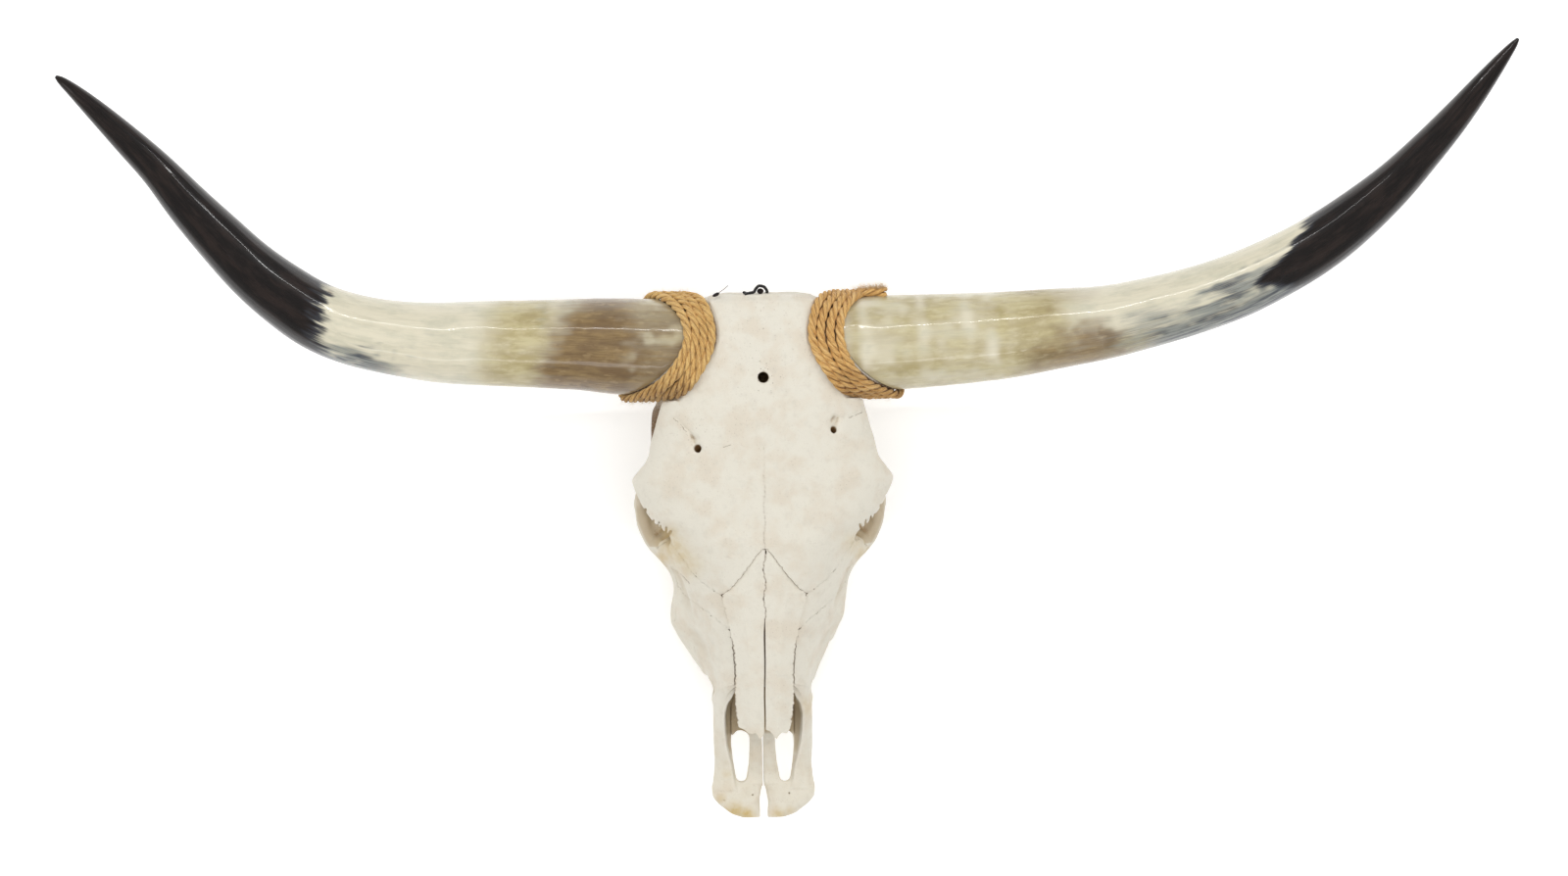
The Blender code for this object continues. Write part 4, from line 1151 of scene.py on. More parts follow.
def left_horn_marks(reach, nose, grain):
    """Where the left sheath is brown, olive, blue-grey, black and amber; each mark is 0 to 1."""
    blotch = ripple(grain * (0.5, 1, 1), 13, 71) + 0.6 * ripple(grain * (0.8, 1, 1), 6, 75)
    streak = ripple(grain * (0.06, 1, 1), 4.2, 72) + 0.4 * ripple(grain * (0.1, 1, 1), 2.2, 74)
    brown = 1 - slope_to(reach - 16 * nose + 5 * streak + 8 * blotch, 170, 234)
    spots = slope_to(blotch + 0.4 * streak, -0.1, 0.9) * (1 - slope_to(reach, 120, 156))
    base = 1 - slope_to(reach + 7 * blotch, 104, 146)
    brown *= (1 - 0.4 * spots) * (1 - 0.24 * slope_to(-nose, 0, 0.9)) * (1 - 0.3 * base)
    olive = spread(reach + 7 * blotch - 8 * nose, 232, 34, 50) * (0.85 + 0.2 * blotch)
    slate = slope_to(nose + 0.3 * streak + 0.4 * blotch, 0.1, 0.9) * spread(reach, 386, 44, 90)
    pale = 0.25 * spread(reach + 10 * blotch, 322, 24, 60) * spread(nose + 0.5 * blotch, 0.2, 0.5, 0.7)
    fringe = 0.35 * spread(reach - 16 * nose + 6 * blotch, 218, 9, 26) * slope_to(-nose, -0.2, 0.5)
    black = slope_to(reach + 15 * np.clip(nose, -0.4, 1) + 8 * streak + 7 * blotch, 404, 448)
    return {
        "brown": brown, "olive": np.maximum(olive, 0.5 * np.maximum(spots, base)),
        "slate": np.maximum.reduce([slate, pale, fringe]), "black": black,
        "amber": 0.6 * spread(reach, 424, 10, 22) * spread(nose, -0.8, 0.12, 0.3),
    }


def right_horn_marks(reach, nose, grain):
    """Where the right sheath is brown, olive, blue-grey and black, with no amber; each mark is 0 to 1. Brown,
    olive and blue-grey also paint shade on its side towards the nose.
    """
    blotch = ripple(grain * (0.5, 1, 1), 15, 81) + 0.6 * ripple(grain * (0.8, 1, 1), 6.5, 85)
    streak = ripple(grain * (0.06, 1, 1), 4.2, 82) + 0.4 * ripple(grain * (0.1, 1, 1), 2.2, 84)
    bands = ripple(grain * (1, 0.12, 0.12), 11, 83)
    # Painted shade on the side towards the nose: brown, olive and blue-grey marks darken it there
    noseward = nose + 0.3 * blotch
    low = slope_to(noseward, -0.6, 0.5)
    patch = 0.68 * low * spread(reach + 9 * blotch, 298, 48, 60)
    crownward = 0.34 * spread(reach + 8 * blotch, 290, 44, 50) * slope_to(-nose, 0.3, 0.8)
    rust = 0.55 * spread(reach + 8 * blotch, 284, 14, 34) * spread(noseward, 0.1, 0.45, 0.7)
    stain = 0.75 * spread(reach + 8 * blotch, 332, 18, 36) * spread(nose + 0.2 * blotch, 0.5, 0.4, 0.6)
    clouds = np.clip(0.54 + 0.3 * blotch + 0.3 * bands, 0, 1) * (1 - slope_to(reach, 230, 330))
    wide = spread(reach + 6 * blotch + 5 * bands, 262, 36, 60) * (0.85 - 0.1 * nose)
    underside = 0.7 * slope_to(noseward, 0.1, 0.9) * (1 - slope_to(reach, 350, 420))
    slate_underside_shade = 0.55 * slope_to(noseward, -0.6, 0.3) * spread(reach + 8 * blotch, 400, 70, 60)
    middle = 0.42 - (reach - 400) * 0.0045
    stripe = spread(nose + 0.3 * streak + 0.2 * blotch, middle, 0.26, 0.8) * spread(reach, 444, 60, 120)
    shadow = 0.95 * slope_to(nose + 0.3 * streak + 0.3 * blotch, -0.15, 0.7) * spread(reach, 448, 92, 100)
    edge = 508 - 28 * np.exp(-((nose - 0.2) / 0.33) ** 2) + 34 * slope_to(-nose, 0, 0.8)
    return {
        "brown": np.maximum.reduce([patch, crownward, rust, stain]),
        "olive": np.maximum.reduce([clouds, wide, underside]),
        "slate": np.maximum.reduce([stripe, shadow, slate_underside_shade]),
        "black": slope_to(reach + 8 * streak + 6 * blotch - edge, -18, 20), "amber": 0 * reach,
    }


def frames_along(path):
    """Two steady directions across a path at each of its points."""
    tangent = unit(np.gradient(path, axis=0))
    guess = np.array([0.0, 0.0, 1.0] if abs(tangent[0, 2]) < 0.9 else [1.0, 0.0, 0.0])
    first = np.empty_like(path)
    for i, along in enumerate(tangent):
        guess = unit(guess - along * (guess @ along))
        first[i] = guess
    return first, np.cross(tangent, first)


def tube(path, radius, sides, relief=0):
    """A tube along a path: its points, its faces with closed ends, and each point's angle.

    The radius is one number or one for each place on the path. In the skull's axes t runs towards -Y,
    so the faces turn the other way round.
    """
    first, second = frames_along(path)
    turn = full_turn(sides)
    radius = np.broadcast_to(np.asarray(radius, float).reshape(-1, 1), (len(path), sides)) + relief
    around = first[:, None] * np.cos(turn)[:, None] + second[:, None] * np.sin(turn)[:, None]
    points = (path[:, None] + around * radius[..., None]).reshape(-1, 3)
    faces = [tube_faces(len(path), sides), end_caps(len(path), sides, len(points))]
    return np.concatenate([points, path[[0, -1]]]), faces, np.tile(turn, len(path))


def joined(parts):
    """Several bodies of points and faces as one."""
    points, faces, shift = [], {}, 0
    for part_points, part_faces in parts:
        points.append(part_points)
        for part in part_faces:
            faces.setdefault(part.shape[1], []).append(part + shift)
        shift += len(part_points)
    return np.concatenate(points), [np.concatenate(group) for group in faces.values()]


def winding_path(side, seed):
    """The rope's route: four turns round the neck that change lanes at the back."""
    q = np.linspace(0.02, ROPE_TURNS - 0.02, 1250)
    part = q - np.floor(q)
    lane = np.floor(q) - 0.5 + 0.5 * slope_to(part, 0, 0.15) + 0.5 * slope_to(part, 0.85, 1)
    lane = np.clip(lane, 0, ROPE_TURNS - 1)
    rng = np.random.default_rng(seed)
    wobble = np.interp(q, np.linspace(0, ROPE_TURNS, 34), rng.uniform(-WANDER, WANDER, 34))
    # On the left one turn climbs over its neighbour
    climb = np.exp(-((q - 1.62) / 0.05) ** 2) * (side < 0)
    turn = np.radians(270 + 360 * q)
    sine, cosine = np.sin(turn), np.cos(turn)
    across = (lane - 0.75 * climb + 0.40 + wobble) / ROPE_TURNS
    distance = sheath_edge(sine, cosine) - GAP - across * wrap_width(sine, cosine)
    radius = wrap_radius(sine, cosine, across) + 0.5 * ROPE_DIAMETER - 0.1 + 3.6 * climb
    # Both ends are tucked in under the winding
    radius = radius - 2.4 * (1 - slope_to(q, 0, 0.06)) - 2.4 * slope_to(q, ROPE_TURNS - 0.06, ROPE_TURNS)
    path = np.stack([side * distance, HORN_T - radius * cosine, HORN_Z + radius * sine], 1)
    kernel = np.hanning(17) / np.hanning(17).sum()
    return np.stack([np.convolve(np.pad(path[:, i], 8, mode="edge"), kernel, "valid") for i in range(3)], 1)


def rope_strands(path, lay, fray=0.0):
    """The three twisted strands of a rope along a path: points, faces and marks."""
    first, second = frames_along(path)
    run = run_along(path)
    frayed = slope_to(run, run[-1] - 4, run[-1])
    parts, grain, deep = [], [], []
    sides = 12
    for strand in range(3):
        turn = 2 * math.pi * (run / lay + strand / 3)
        out = first * np.cos(turn)[:, None] + second * np.sin(turn)[:, None]
        open_up = 1 + fray * slope_to(run, run[-1] - 9, run[-1])
        centre = path + out * (STRAND_OFF_AXIS * ROPE_DIAMETER * open_up)[:, None]
        thick = STRAND_THICK * ROPE_DIAMETER * (1 - 0.25 * fray * frayed)
        angle, spin = full_turn(sides)[None], turn[:, None]
        ridges = 0.10 * np.cos(5 * angle - 2.2 * spin) + 0.06 * np.cos(3 * angle + 0.9 * spin + strand)
        points, faces, around = tube(centre, thick, sides, ridges)
        parts.append((points, faces))
        # Painted shade: the nearer a strand's point lies to the rope's axis, the darker it is painted
        away = np.linalg.norm(points[:-2] - np.repeat(path, sides, 0), axis=1)
        deep.append(np.append(1 - slope_to(away, 0.18 * ROPE_DIAMETER, 0.46 * ROPE_DIAMETER), [0, 0]))
        twist = around - 0.9 * np.repeat(turn, sides)
        fibres = np.stack([np.repeat(run, sides), 2 * np.cos(twist) + 9 * strand, 2 * np.sin(twist)], 1)
        grain.append(np.concatenate([fibres, fibres[[0, -1]]]))
    points, faces = joined(parts)
    return points, faces, {"grain": np.concatenate(grain), "deep": np.concatenate(deep)}


def off_the_neck(point):
    """The way out from a horn's axis."""
    return unit(np.array([0, point[1] - HORN_T, point[2] - HORN_Z]))


def loose_fibres(paths, count, seed):
    """Thin stray fibres that stand off the rope along some paths."""
    rng = np.random.default_rng(seed)
    parts = []
    for _ in range(count):
        path = paths[rng.integers(len(paths))]
        i = rng.integers(2, len(path) - 2)
        along = unit(path[i + 1] - path[i - 1])
        off = off_the_neck(path[i])
        lean = unit(along * rng.uniform(-1, 1) + off * rng.uniform(0.25, 1.0) + rng.normal(0, 0.35, 3))
        start = path[i] + off * 0.42 * ROPE_DIAMETER + np.cross(along, off) * rng.uniform(-2.6, 2.6)
        size = FIBRE_LENGTH * rng.uniform(0.3, 1.0)
        share = np.linspace(0, 1, 6)[:, None]
        curl = rng.normal(0, 0.28, 3) - (0, 0, 0.1)
        line = start + lean * size * share + curl * size * share ** 2
        points, faces, _ = tube(line, FIBRE_RADIUS * (1 - 0.6 * share[:, 0]), 3)
        parts.append((points, faces))
    return joined(parts)


# ---- finishes

def tone(red, green, blue):
    """A colour from its 0 to 255 screen values."""
    return tuple(
        ((value / 255 + 0.055) / 1.055) ** 2.4 if value > 10 else value / 3294 for value in (red, green, blue)
    )


class Finish:
    """A procedural material, put together node by node."""

    def __init__(self, name, roughness, specular=0.5, coat=0.0, coat_roughness=0.1, sheen=0.0):
        self.material = bpy.data.materials.new(name)
        self.material.use_nodes = True
        self.tree = self.material.node_tree
        self.surface = self.tree.nodes["Principled BSDF"]
        self.set("Roughness", roughness)
        self.set("Specular IOR Level", specular)
        self.set("Coat Weight", coat)
        self.set("Coat Roughness", coat_roughness)
        self.set("Sheen Weight", sheen)

    def put(self, socket, value):
        """Set a socket, or link another socket to it."""
        if isinstance(value, bpy.types.NodeSocket):
            self.tree.links.new(value, socket)
        elif value is not None:
            if socket.type == "RGBA":
                value = (*value, 1)
            socket.default_value = value

    def set(self, name, value):
        """Give the surface shader a value."""
        self.put(self.surface.inputs[name], value)

    def node(self, kind, inputs, out=0, **settings):
        """Add a node and return one of its outputs."""
        made = self.tree.nodes.new("ShaderNode" + kind)
        for key, value in settings.items():
            setattr(made, key, value)
        for key, value in inputs.items():
            self.put(made.inputs[key], value)
        return made.outputs[out]

    def done(self, colour, roughness=None, relief=None):
        """Link what varies over the surface, and return the material."""
        self.set("Base Color", colour)
        self.set("Roughness", roughness)
        self.set("Normal", relief)
        return self.material

    def place(self):
        """The place of a point in the frame."""
        return self.node("TexCoord", {}, "Object")

    def mark(self, name):
        """A number stored at the piece's points."""
        return self.node("Attribute", {}, "Fac", attribute_name=name)

    def marked_place(self, name):
        """A place stored at the piece's points."""
        return self.node("Attribute", {}, "Vector", attribute_name=name)

    def noise(self, place, size, detail=2.0, roughness=0.5, stretch=(1, 1, 1), shift=0.0):
        """Noise with features of a size in the place's own unit."""
        scaled = self.node("Mapping", {"Vector": place, "Location": (shift, shift, shift), "Scale": stretch})
        return self.node("TexNoise", {
            "Vector": scaled, "Scale": 1 / size, "Detail": detail, "Roughness": roughness,
        })

    def between(self, value, low, high, start=0.0, end=1.0):
        """Smooth step from start to end as the value passes low and high."""
        return self.node("MapRange", {
            "Value": value, "From Min": low, "From Max": high, "To Min": start, "To Max": end,
        }, interpolation_type="SMOOTHSTEP")

    def math(self, operation, first, second):
        """Two numbers put together by a Math node."""
        return self.node("Math", {0: first, 1: second}, operation=operation)

    def add(self, first, second):
        """The sum of two numbers."""
        return self.math("ADD", first, second)

    def times(self, first, second):
        """The product of two numbers."""
        return self.math("MULTIPLY", first, second)

    def mix(self, share, first, second):
        """Mix two colours."""
        return self.node("Mix", {0: share, 6: first, 7: second}, 2, data_type="RGBA")

    def layered(self, colour, *layers):
        """Lay tints over a colour; each is a value, its low and high, the shares there and the tint."""
        for value, low, high, start, end, tint in layers:
            colour = self.mix(self.between(value, low, high, start, end), colour, tone(*tint))
        return colour

    def vector(self, operation, first, second=None, out=0):
        """One or two vectors put through a Vector Math node."""
        return self.node("VectorMath", {0: first, 1: second}, out, operation=operation)

    def line(self, place, start, end, width):
        """1 on a thin line between two places of x and t, seen from the front."""
        start, end = (Vector(to_world((x, t, 0))) for x, t in (start, end))
        run = end - start
        away = self.vector("MULTIPLY", self.vector("SUBTRACT", place, start), (1, 1, 0))
        share = self.vector("DOT_PRODUCT", away, run / run.length_squared, 1)
        share = self.node("Clamp", {"Value": share})
        foot = self.node("VectorMath", {0: run, "Scale": share}, operation="SCALE")
        away = self.vector("LENGTH", self.vector("SUBTRACT", away, foot), out=1)
        return self.between(away, 0.25 * width * MM, 0.75 * width * MM, 1, 0)

    def bump(self, height, distance, strength=1.0, under=None):
        """Fine relief, its distance in metres."""
        return self.node("Bump", {
            "Height": height, "Distance": distance, "Strength": strength, "Normal": under,
        })


def bone_finish(colours):
    """Dry bleached bone: off-white with faint mottling, pores and yellow stains, with painted tan shade in
    the hollows and creases and painted light on sharp ridges.
    """
    made = Finish("dry_bleached_bone", 0.62, specular=0.32)
    place = made.place()
    cloudy = made.noise(place, 0.028, 3, 0.55)
    blotchy = made.noise(place, 0.0085, 4, 0.6, shift=3.1)
    speckle = made.noise(place, 0.0016, 3, 0.65, shift=7.7)
    crease = made.add(made.mark("crease"), made.times(made.add(speckle, -0.5), 0.25))
    hollow = made.mark("hollow")
    colour = made.mix(made.between(cloudy, 0.42, 0.66), tuple(colours.bone_light), tuple(colours.bone_warm))
    colour = made.layered(
        colour,
        (blotchy, 0.5, 0.76, 0, 0.35, (208, 202, 188)),
        (blotchy, 0.24, 0.42, 0.25, 0, (230, 223, 208)),
        (speckle, 0.60, 0.74, 0, 0.4, (186, 174, 156)),
        # Painted light on sharp ridges
        (crease, 0.30, 0.42, 0.35, 0, (240, 234, 224)),
        # Painted shade: tan, then dark brown, the deeper a place lies in a hollow
        (hollow, 0.5, 0.68, 0, 0.85, (184, 164, 130)),
        (hollow, 0.64, 0.86, 0, 0.9, (112, 86, 58)),
        # Painted shade in creases
        (crease, 0.56, 0.72, 0, 0.75, (158, 130, 96)),
    )
    yellow = made.times(made.mark("yellow"), made.between(blotchy, 0.3, 0.6, 0.55, 1))
    colour = made.mix(yellow, colour, tuple(colours.bone_yellow))
    # Darker places: the left temple and the forehead's seam, painted shade in the vessel holes, and painted
    # shadow with some dirt under the ropes
    dark = made.times(made.mark("dark"), made.between(speckle, 0.3, 0.6, 0.75, 1))
    colour = made.mix(dark, colour, tone(112, 82, 48))

    # Pores, pits and small cracks
    pores = made.node("TexVoronoi", {"Vector": place, "Scale": 330}, "Distance")
    pores = made.times(made.between(pores, 0.05, 0.2, 1, 0), made.between(cloudy, 0.5, 0.62, 0, 0.5))
    pits = made.node("TexVoronoi", {"Vector": place, "Scale": 240}, "Distance")
    pits = made.times(made.between(pits, 0.08, 0.2, 1, 0), made.mark("pitted"))
    openings = made.math("MAXIMUM", pores, pits)
    shake = made.node("TexNoise", {"Vector": place, "Scale": 420.0}, "Color")
    wavering = made.node("Mix", {0: 0.0022, 4: place, 5: shake}, 1, data_type="VECTOR")
    for start, end, width in CRACKS:
        openings = made.math("MAXIMUM", openings, made.line(wavering, start, end, width))
    colour = made.mix(made.times(openings, 0.62), colour, tone(112, 88, 62))
    relief = made.bump(made.noise(place, 0.0052, 5, 0.62, shift=1.7), 0.0011, 0.45)
    relief = made.bump(made.noise(place, 0.0014, 3, 0.6, shift=5.0), 0.0004, 0.5, relief)
    relief = made.bump(made.times(openings, -1), 0.0005, 0.6, relief)
    return made.done(colour, made.between(blotchy, 0.3, 0.75, 0.52, 0.7), relief)


def tooth_finish(colours):
    """Cheek teeth: stained enamel with brown cement in the cups and between the ridges."""
    made = Finish("stained_enamel", 0.35, specular=0.5, coat=0.15, coat_roughness=0.2)
    place = made.place()
    bands = made.noise(place, 0.004, 3, 0.6, (1, 1, 0.35))
    stains = made.noise(place, 0.0015, 4, 0.7, shift=4)
    colour = made.mix(made.between(bands, 0.35, 0.68), tuple(colours.enamel), tone(176, 146, 100))
    colour = made.layered(
        colour,
        (made.mark("crease"), 0.5, 0.68, 0, 0.85, (86, 62, 40)), (stains, 0.55, 0.75, 0, 0.5, (120, 92, 58)),
    )
    relief = made.bump(made.noise(place, 0.0012, 4, 0.6, (1, 1, 0.2)), 0.0004, 0.5)
    return made.done(colour, made.between(bands, 0.3, 0.7, 0.28, 0.5), relief)


def horn_finish(colours):
    """Polished horn: ivory with streaked olive, brown, slate and black."""
    made = Finish("polished_horn", 0.3, specular=0.2, coat=0.6, coat_roughness=0.07)
    grain = made.marked_place("grain")
    streak = made.noise(grain, 4.2, 4, 0.58, (0.11, 1, 1))
    fine = made.noise(grain, 1.1, 3, 0.6, (0.04, 1, 1), shift=11)
    cloud = made.noise(grain, 15, 4, 0.62, (0.4, 1, 1), shift=5)
    spots = made.noise(grain, 5, 3, 0.55, (0.4, 1, 1), shift=23)
    shift = made.add(made.times(made.add(streak, -0.5), 0.7), made.times(made.add(fine, -0.5), 0.6))

    def part(name, gain, low, high):
        """A mark whose edge is broken up by the streaks."""
        ragged = made.node("Math", {0: shift, 1: gain, 2: made.mark(name)}, operation="MULTIPLY_ADD")
        return made.times(made.between(ragged, low, high), made.between(made.mark(name), 0, 0.25))

    colour = made.layered(
        made.mix(made.between(cloud, 0.42, 0.7), tuple(colours.horn_ivory), tone(206, 202, 180)),
        (streak, 0.32, 0.54, 0.25, 0, (186, 180, 156)), (fine, 0.5, 0.74, 0, 0.14, (236, 230, 212)),
    )
    olive = made.layered(
        made.mix(made.between(cloud, 0.38, 0.62), tone(168, 152, 100), tone(200, 188, 142)),
        (streak, 0.34, 0.56, 0.35, 0, (150, 130, 84)), (spots, 0.5, 0.7, 0, 0.4, (214, 204, 166)),
    )
    colour = made.mix(made.times(part("olive", 0.35, 0.1, 0.95), 0.85), colour, olive)
    brown = made.layered(
        made.mix(made.between(cloud, 0.34, 0.66), tone(108, 80, 42), tone(144, 117, 72)),
        (streak, 0.34, 0.6, 0.5, 0, (92, 66, 34)), (fine, 0.36, 0.52, 0.18, 0, (84, 58, 34)),
        (spots, 0.54, 0.72, 0, 0.35, (178, 152, 106)),
    )
    colour = made.mix(made.times(part("brown", 0.4, 0.1, 0.9), 0.94), colour, brown)
    slate = made.mix(made.between(streak, 0.36, 0.62), tone(64, 70, 80), tone(146, 149, 142))
    colour = made.mix(part("slate", 1.2, 0.15, 0.95), colour, slate)
    colour = made.mix(part("amber", 1.2, 0.3, 0.85), colour, tone(118, 78, 42))
    black = made.mix(made.between(cloud, 0.4, 0.66), tuple(colours.horn_black), tone(36, 26, 22))
    colour = made.mix(part("black", 1.3, 0.05, 0.5), colour, tone(52, 54, 60))
    colour = made.mix(part("black", 1.3, 0.4, 0.8), colour, black)
    relief = made.bump(made.noise(grain, 1.4, 3, 0.6, (0.03, 1, 1), shift=2), 0.0003, 0.2)
    scratches = made.noise(grain, 0.9, 2, 0.5, (1, 0.05, 0.05), shift=31)
    relief = made.bump(made.between(scratches, 0.62, 0.72), -0.0002, 0.35, relief)
    return made.done(colour, made.between(fine, 0.3, 0.75, 0.24, 0.4), relief)


def rope_finish(name, light, dark):
    """Sisal: straw-coloured fibres lying along each strand, with painted shade down in the lay."""
    made = Finish(name, 0.82, specular=0.25, sheen=0.12)
    grain = made.marked_place("grain")
    fibre = made.noise(grain, 0.42, 4, 0.65, (0.09, 1, 1))
    bundle = made.noise(grain, 2.6, 3, 0.6, (0.12, 1, 1), shift=9)
    colour = made.layered(
        made.mix(made.between(fibre, 0.34, 0.66), tuple(dark), tuple(light)),
        (bundle, 0.45, 0.72, 0, 0.55, (240, 206, 146)), (bundle, 0.22, 0.42, 0.5, 0, (158, 100, 48)),
        # Painted shade down in the lay and on the side towards the nose
        (made.mark("deep"), 0.05, 1, 0, 0.9, (96, 54, 26)),
    )
    return made.done(colour, relief=made.bump(fibre, 0.0006, 0.9))


def fibre_finish():
    """Loose fibres: pale straw."""
    made = Finish("loose_fibre", 0.7, specular=0.3)
    patches = made.noise(made.place(), 0.004, 2)
    return made.done(made.mix(patches, tone(204, 160, 100), tone(236, 214, 170)))


def wire_finish():
    """Black coated wire, scuffed."""
    made = Finish("black_coated_wire", 0.42, specular=0.5)
    scuff = made.noise(made.place(), 0.0025, 4, 0.65)
    colour = made.mix(made.between(scuff, 0.55, 0.75), tone(24, 22, 22), tone(70, 66, 64))
    return made.done(colour, made.between(scuff, 0.35, 0.7, 0.32, 0.6), made.bump(scuff, 0.0002, 0.4))


def screw_finish():
    """Darkened steel with a little rust."""
    made = Finish("darkened_steel", 0.4)
    rust = made.noise(made.place(), 0.0012, 4, 0.65)
    made.set("Metallic", 0.7)
    colour = made.mix(made.between(rust, 0.5, 0.7), tone(44, 42, 42), tone(86, 52, 32))
    return made.done(colour, made.between(rust, 0.35, 0.7, 0.3, 0.7), made.bump(rust, 0.0001, 0.5))


def floor_finish():
    """A plain pale studio floor."""
    made = Finish("pale_floor", 0.9, specular=0.1)
    made.set("Emission Color", (1, 1, 1))
    made.set("Emission Strength", 0.3)
    return made.done(made.mix(made.noise(made.place(), 0.6, 2), (0.93,) * 3, (0.95,) * 3))


# ---- pieces

def make_piece(name, points, faces, finish, slot, stands_for=(), marks=None, sharp=CRISP):
    """Turn points and faces in the skull's axes into a piece of the model.

    The marks are stored at its points for its finish; an edge sharper than sharp degrees stays sharp.
    """
    mesh = bpy.data.meshes.new(name)
    mesh.vertices.add(len(points))
    mesh.vertices.foreach_set("co", to_world(points).astype(np.float32).ravel())
    faces = [part[:, ::-1] for part in faces]
    corners = np.concatenate([part.ravel() for part in faces]).astype(np.int32)
    sizes = np.concatenate([np.full(len(part), part.shape[1]) for part in faces])
    mesh.loops.add(len(corners))
    mesh.loops.foreach_set("vertex_index", corners)
    mesh.polygons.add(len(sizes))
    mesh.polygons.foreach_set("loop_start", (np.cumsum(sizes) - sizes).astype(np.int32))
    mesh.update(calc_edges=True)
    mesh.validate()
    for mark, values in (marks or {}).items():
        values = np.asarray(values, np.float32)
        kind, field = ("FLOAT_VECTOR", "vector") if values.ndim == 2 else ("FLOAT", "value")
        mesh.attributes.new(mark, kind, "POINT").data.foreach_set(field, values.ravel())
    mesh.shade_smooth()
    mesh.set_sharp_from_angle(angle=math.radians(sharp))
    mesh.materials.append(finish)
    piece = bpy.data.objects.new(name, mesh)
    bpy.context.scene.collection.objects.link(piece)
    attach(piece, "root")
    if stands_for:
        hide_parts(*stands_for)


def spot(points, x, t, size):
    """A soft round patch around a place, seen from the front."""
    away = (points[:, 0] - x) ** 2 + (points[:, 1] - t) ** 2
    return np.exp(-away / size ** 2)


def dark_places(points, wide):
    """The left temple, painted shade in the depths of the vessel holes, painted shadow with some dirt on the
    bone under the ropes, and the forehead's seam.
    """
    x, t, z = points.T
    dark = spot(points, -104, 124, 34) * (1 - slope_to(z, 138, 150)) * (x < -84)
    for hole_x, hole_t, radius, lean_x, lean_t in VESSEL_HOLES:
        away = np.sqrt((x - hole_x - 0.25 * lean_x) ** 2 + (t - hole_t - 0.25 * lean_t) ** 2)
        # Painted shade down in each vessel hole
        deep = slope_to(wide.feel(points), 0.5, 0.6) * (z > 120) * (1 if radius > VESSEL_DEEP else 0.5)
        dark = np.maximum(dark, (1 - slope_to(away, radius, radius + 2)) * deep)
    # Painted shadow on the bone under the ropes, with some dirt there too
    radius, sine, cosine, across = round_the_neck(x, t, z)
    under_rope = slope_to(across, -0.02, 0.03) * (1 - slope_to(across, 0.96, 1.01))
    dark = np.maximum(dark, under_rope * (1 - slope_to(radius - wrap_radius(sine, cosine, across), 1, 3)))
    off_seam = x - midline(t)
    seam = (np.abs(off_seam) < 6) * (z > 150) * slope_to(t, 140, 190) * (1 - slope_to(t, 250, 256))
    patchy = 0.45 + 0.3 * slope_to(t, 215, 250) + 0.35 * np.sin(1.7 * t) * np.sin(0.43 * t)
    return np.maximum(dark, 0.6 * (seam * np.exp(-(off_seam / 0.75) ** 2) * patchy))


def painted_hollow_shade(points, wide):
    """Painted shade by how deep each place lies: 0.5 on open skin and more in a hollow, the sockets and the
    nose.
    """
    x, t, z = np.abs(points[:, 0]), points[:, 1], points[:, 2]
    outline = np.interp(t, *zip(*SOCKET_EDGE))
    socket = (1 - 0.11 * slope_to(x - outline, -2.2, 0)) * (1 - slope_to(z, 134, 141)) * slope_to(z, 74, 82)
    socket = socket * slope_to(t, 178, 186) * (1 - slope_to(t, 240, 247)) * slope_to(x, 64, 76)
    socket = socket * (1 - slope_to(t, 226, 232) * slope_to(z, 100, 106))
    nose = slope_to(34 - x, 0, 2) * slope_to(z, 51, 54) * (1 - slope_to(z, 98, 106)) * slope_to(t, 292, 300)
    nose = nose * (1 - slope_to(t, 424, 440))
    return np.maximum.reduce([wide.feel(points), 0.63 * socket, 0.67 * nose])


def pitted_places(points):
    """Where the bone is pitted: round the drilled hole, on the crown, along the midline and over an eye."""
    x, t, z = points.T
    on_midline = 0.9 * np.exp(-(x / 2.2) ** 2) * ((t < 46) | (np.abs(t - 98) < 9))
    pitted = np.maximum(spot(points, 0, 79, 22), on_midline) * (z > 150)
    return np.maximum(pitted, 0.45 * np.maximum(spot(points, -66, 132, 24), spot(points, 0, 30, 34)))


def bone_marks(points, wide, fine):
    """What the bone's finish reads, each about 0 to 1 at every point."""
    yellow = np.zeros(len(points))
    for x, t, size, strength in YELLOW_STAINS:
        yellow = np.maximum(yellow, strength * spot(points, x, t, size))
    return {
        "hollow": painted_hollow_shade(points, wide), "crease": fine.feel(points), "yellow": np.clip(yellow, 0, 1),
        "dark": dark_places(points, wide), "pitted": pitted_places(points),
    }


def make_bones(step, finish):
    """The skull's bones, from the blocks of clay."""
    make_skull(step, finish)
    make_snout(0.6 * step, finish)
    make_nasals(0.6 * step, finish)


def make_skull(step, finish):
    """The braincase, forehead, cheekbones and upper jaws."""
    skull = skull_clay(step)
    for side, _ in SIDES:
        for low, high, distance in tooth_sockets():
            near, far = sorted((side * low[0], side * high[0]))
            skull.cut((
                (near, low[1], low[2]), (far, high[1], high[2]),
                lambda x, t, z, side=side, distance=distance: distance(side * x, t, z),
            ))
    finish_left_and_right(skull)
    weather(skull, 11)
    # The processes under the back of the head stand flat on the floor
    skull.cut(((-139, -8, -4), (139, 80, 0.2), lambda x, t, z: z - 0.05 + 0 * x + 0 * t))
    wide, fine = crowding(skull, HOLLOW_REACH), crowding(skull, SKULL_CREASE)
    for name, low, high, region in bone_regions():
        points, quads = largest_body(*skull.skin(region, low, high))
        stands_for = ("cranium",) if name == "braincase" else ()
        marks = bone_marks(points, wide, fine)
        make_piece(name, crisp(points, skull, region), [quads], finish, "bone", stands_for, marks)


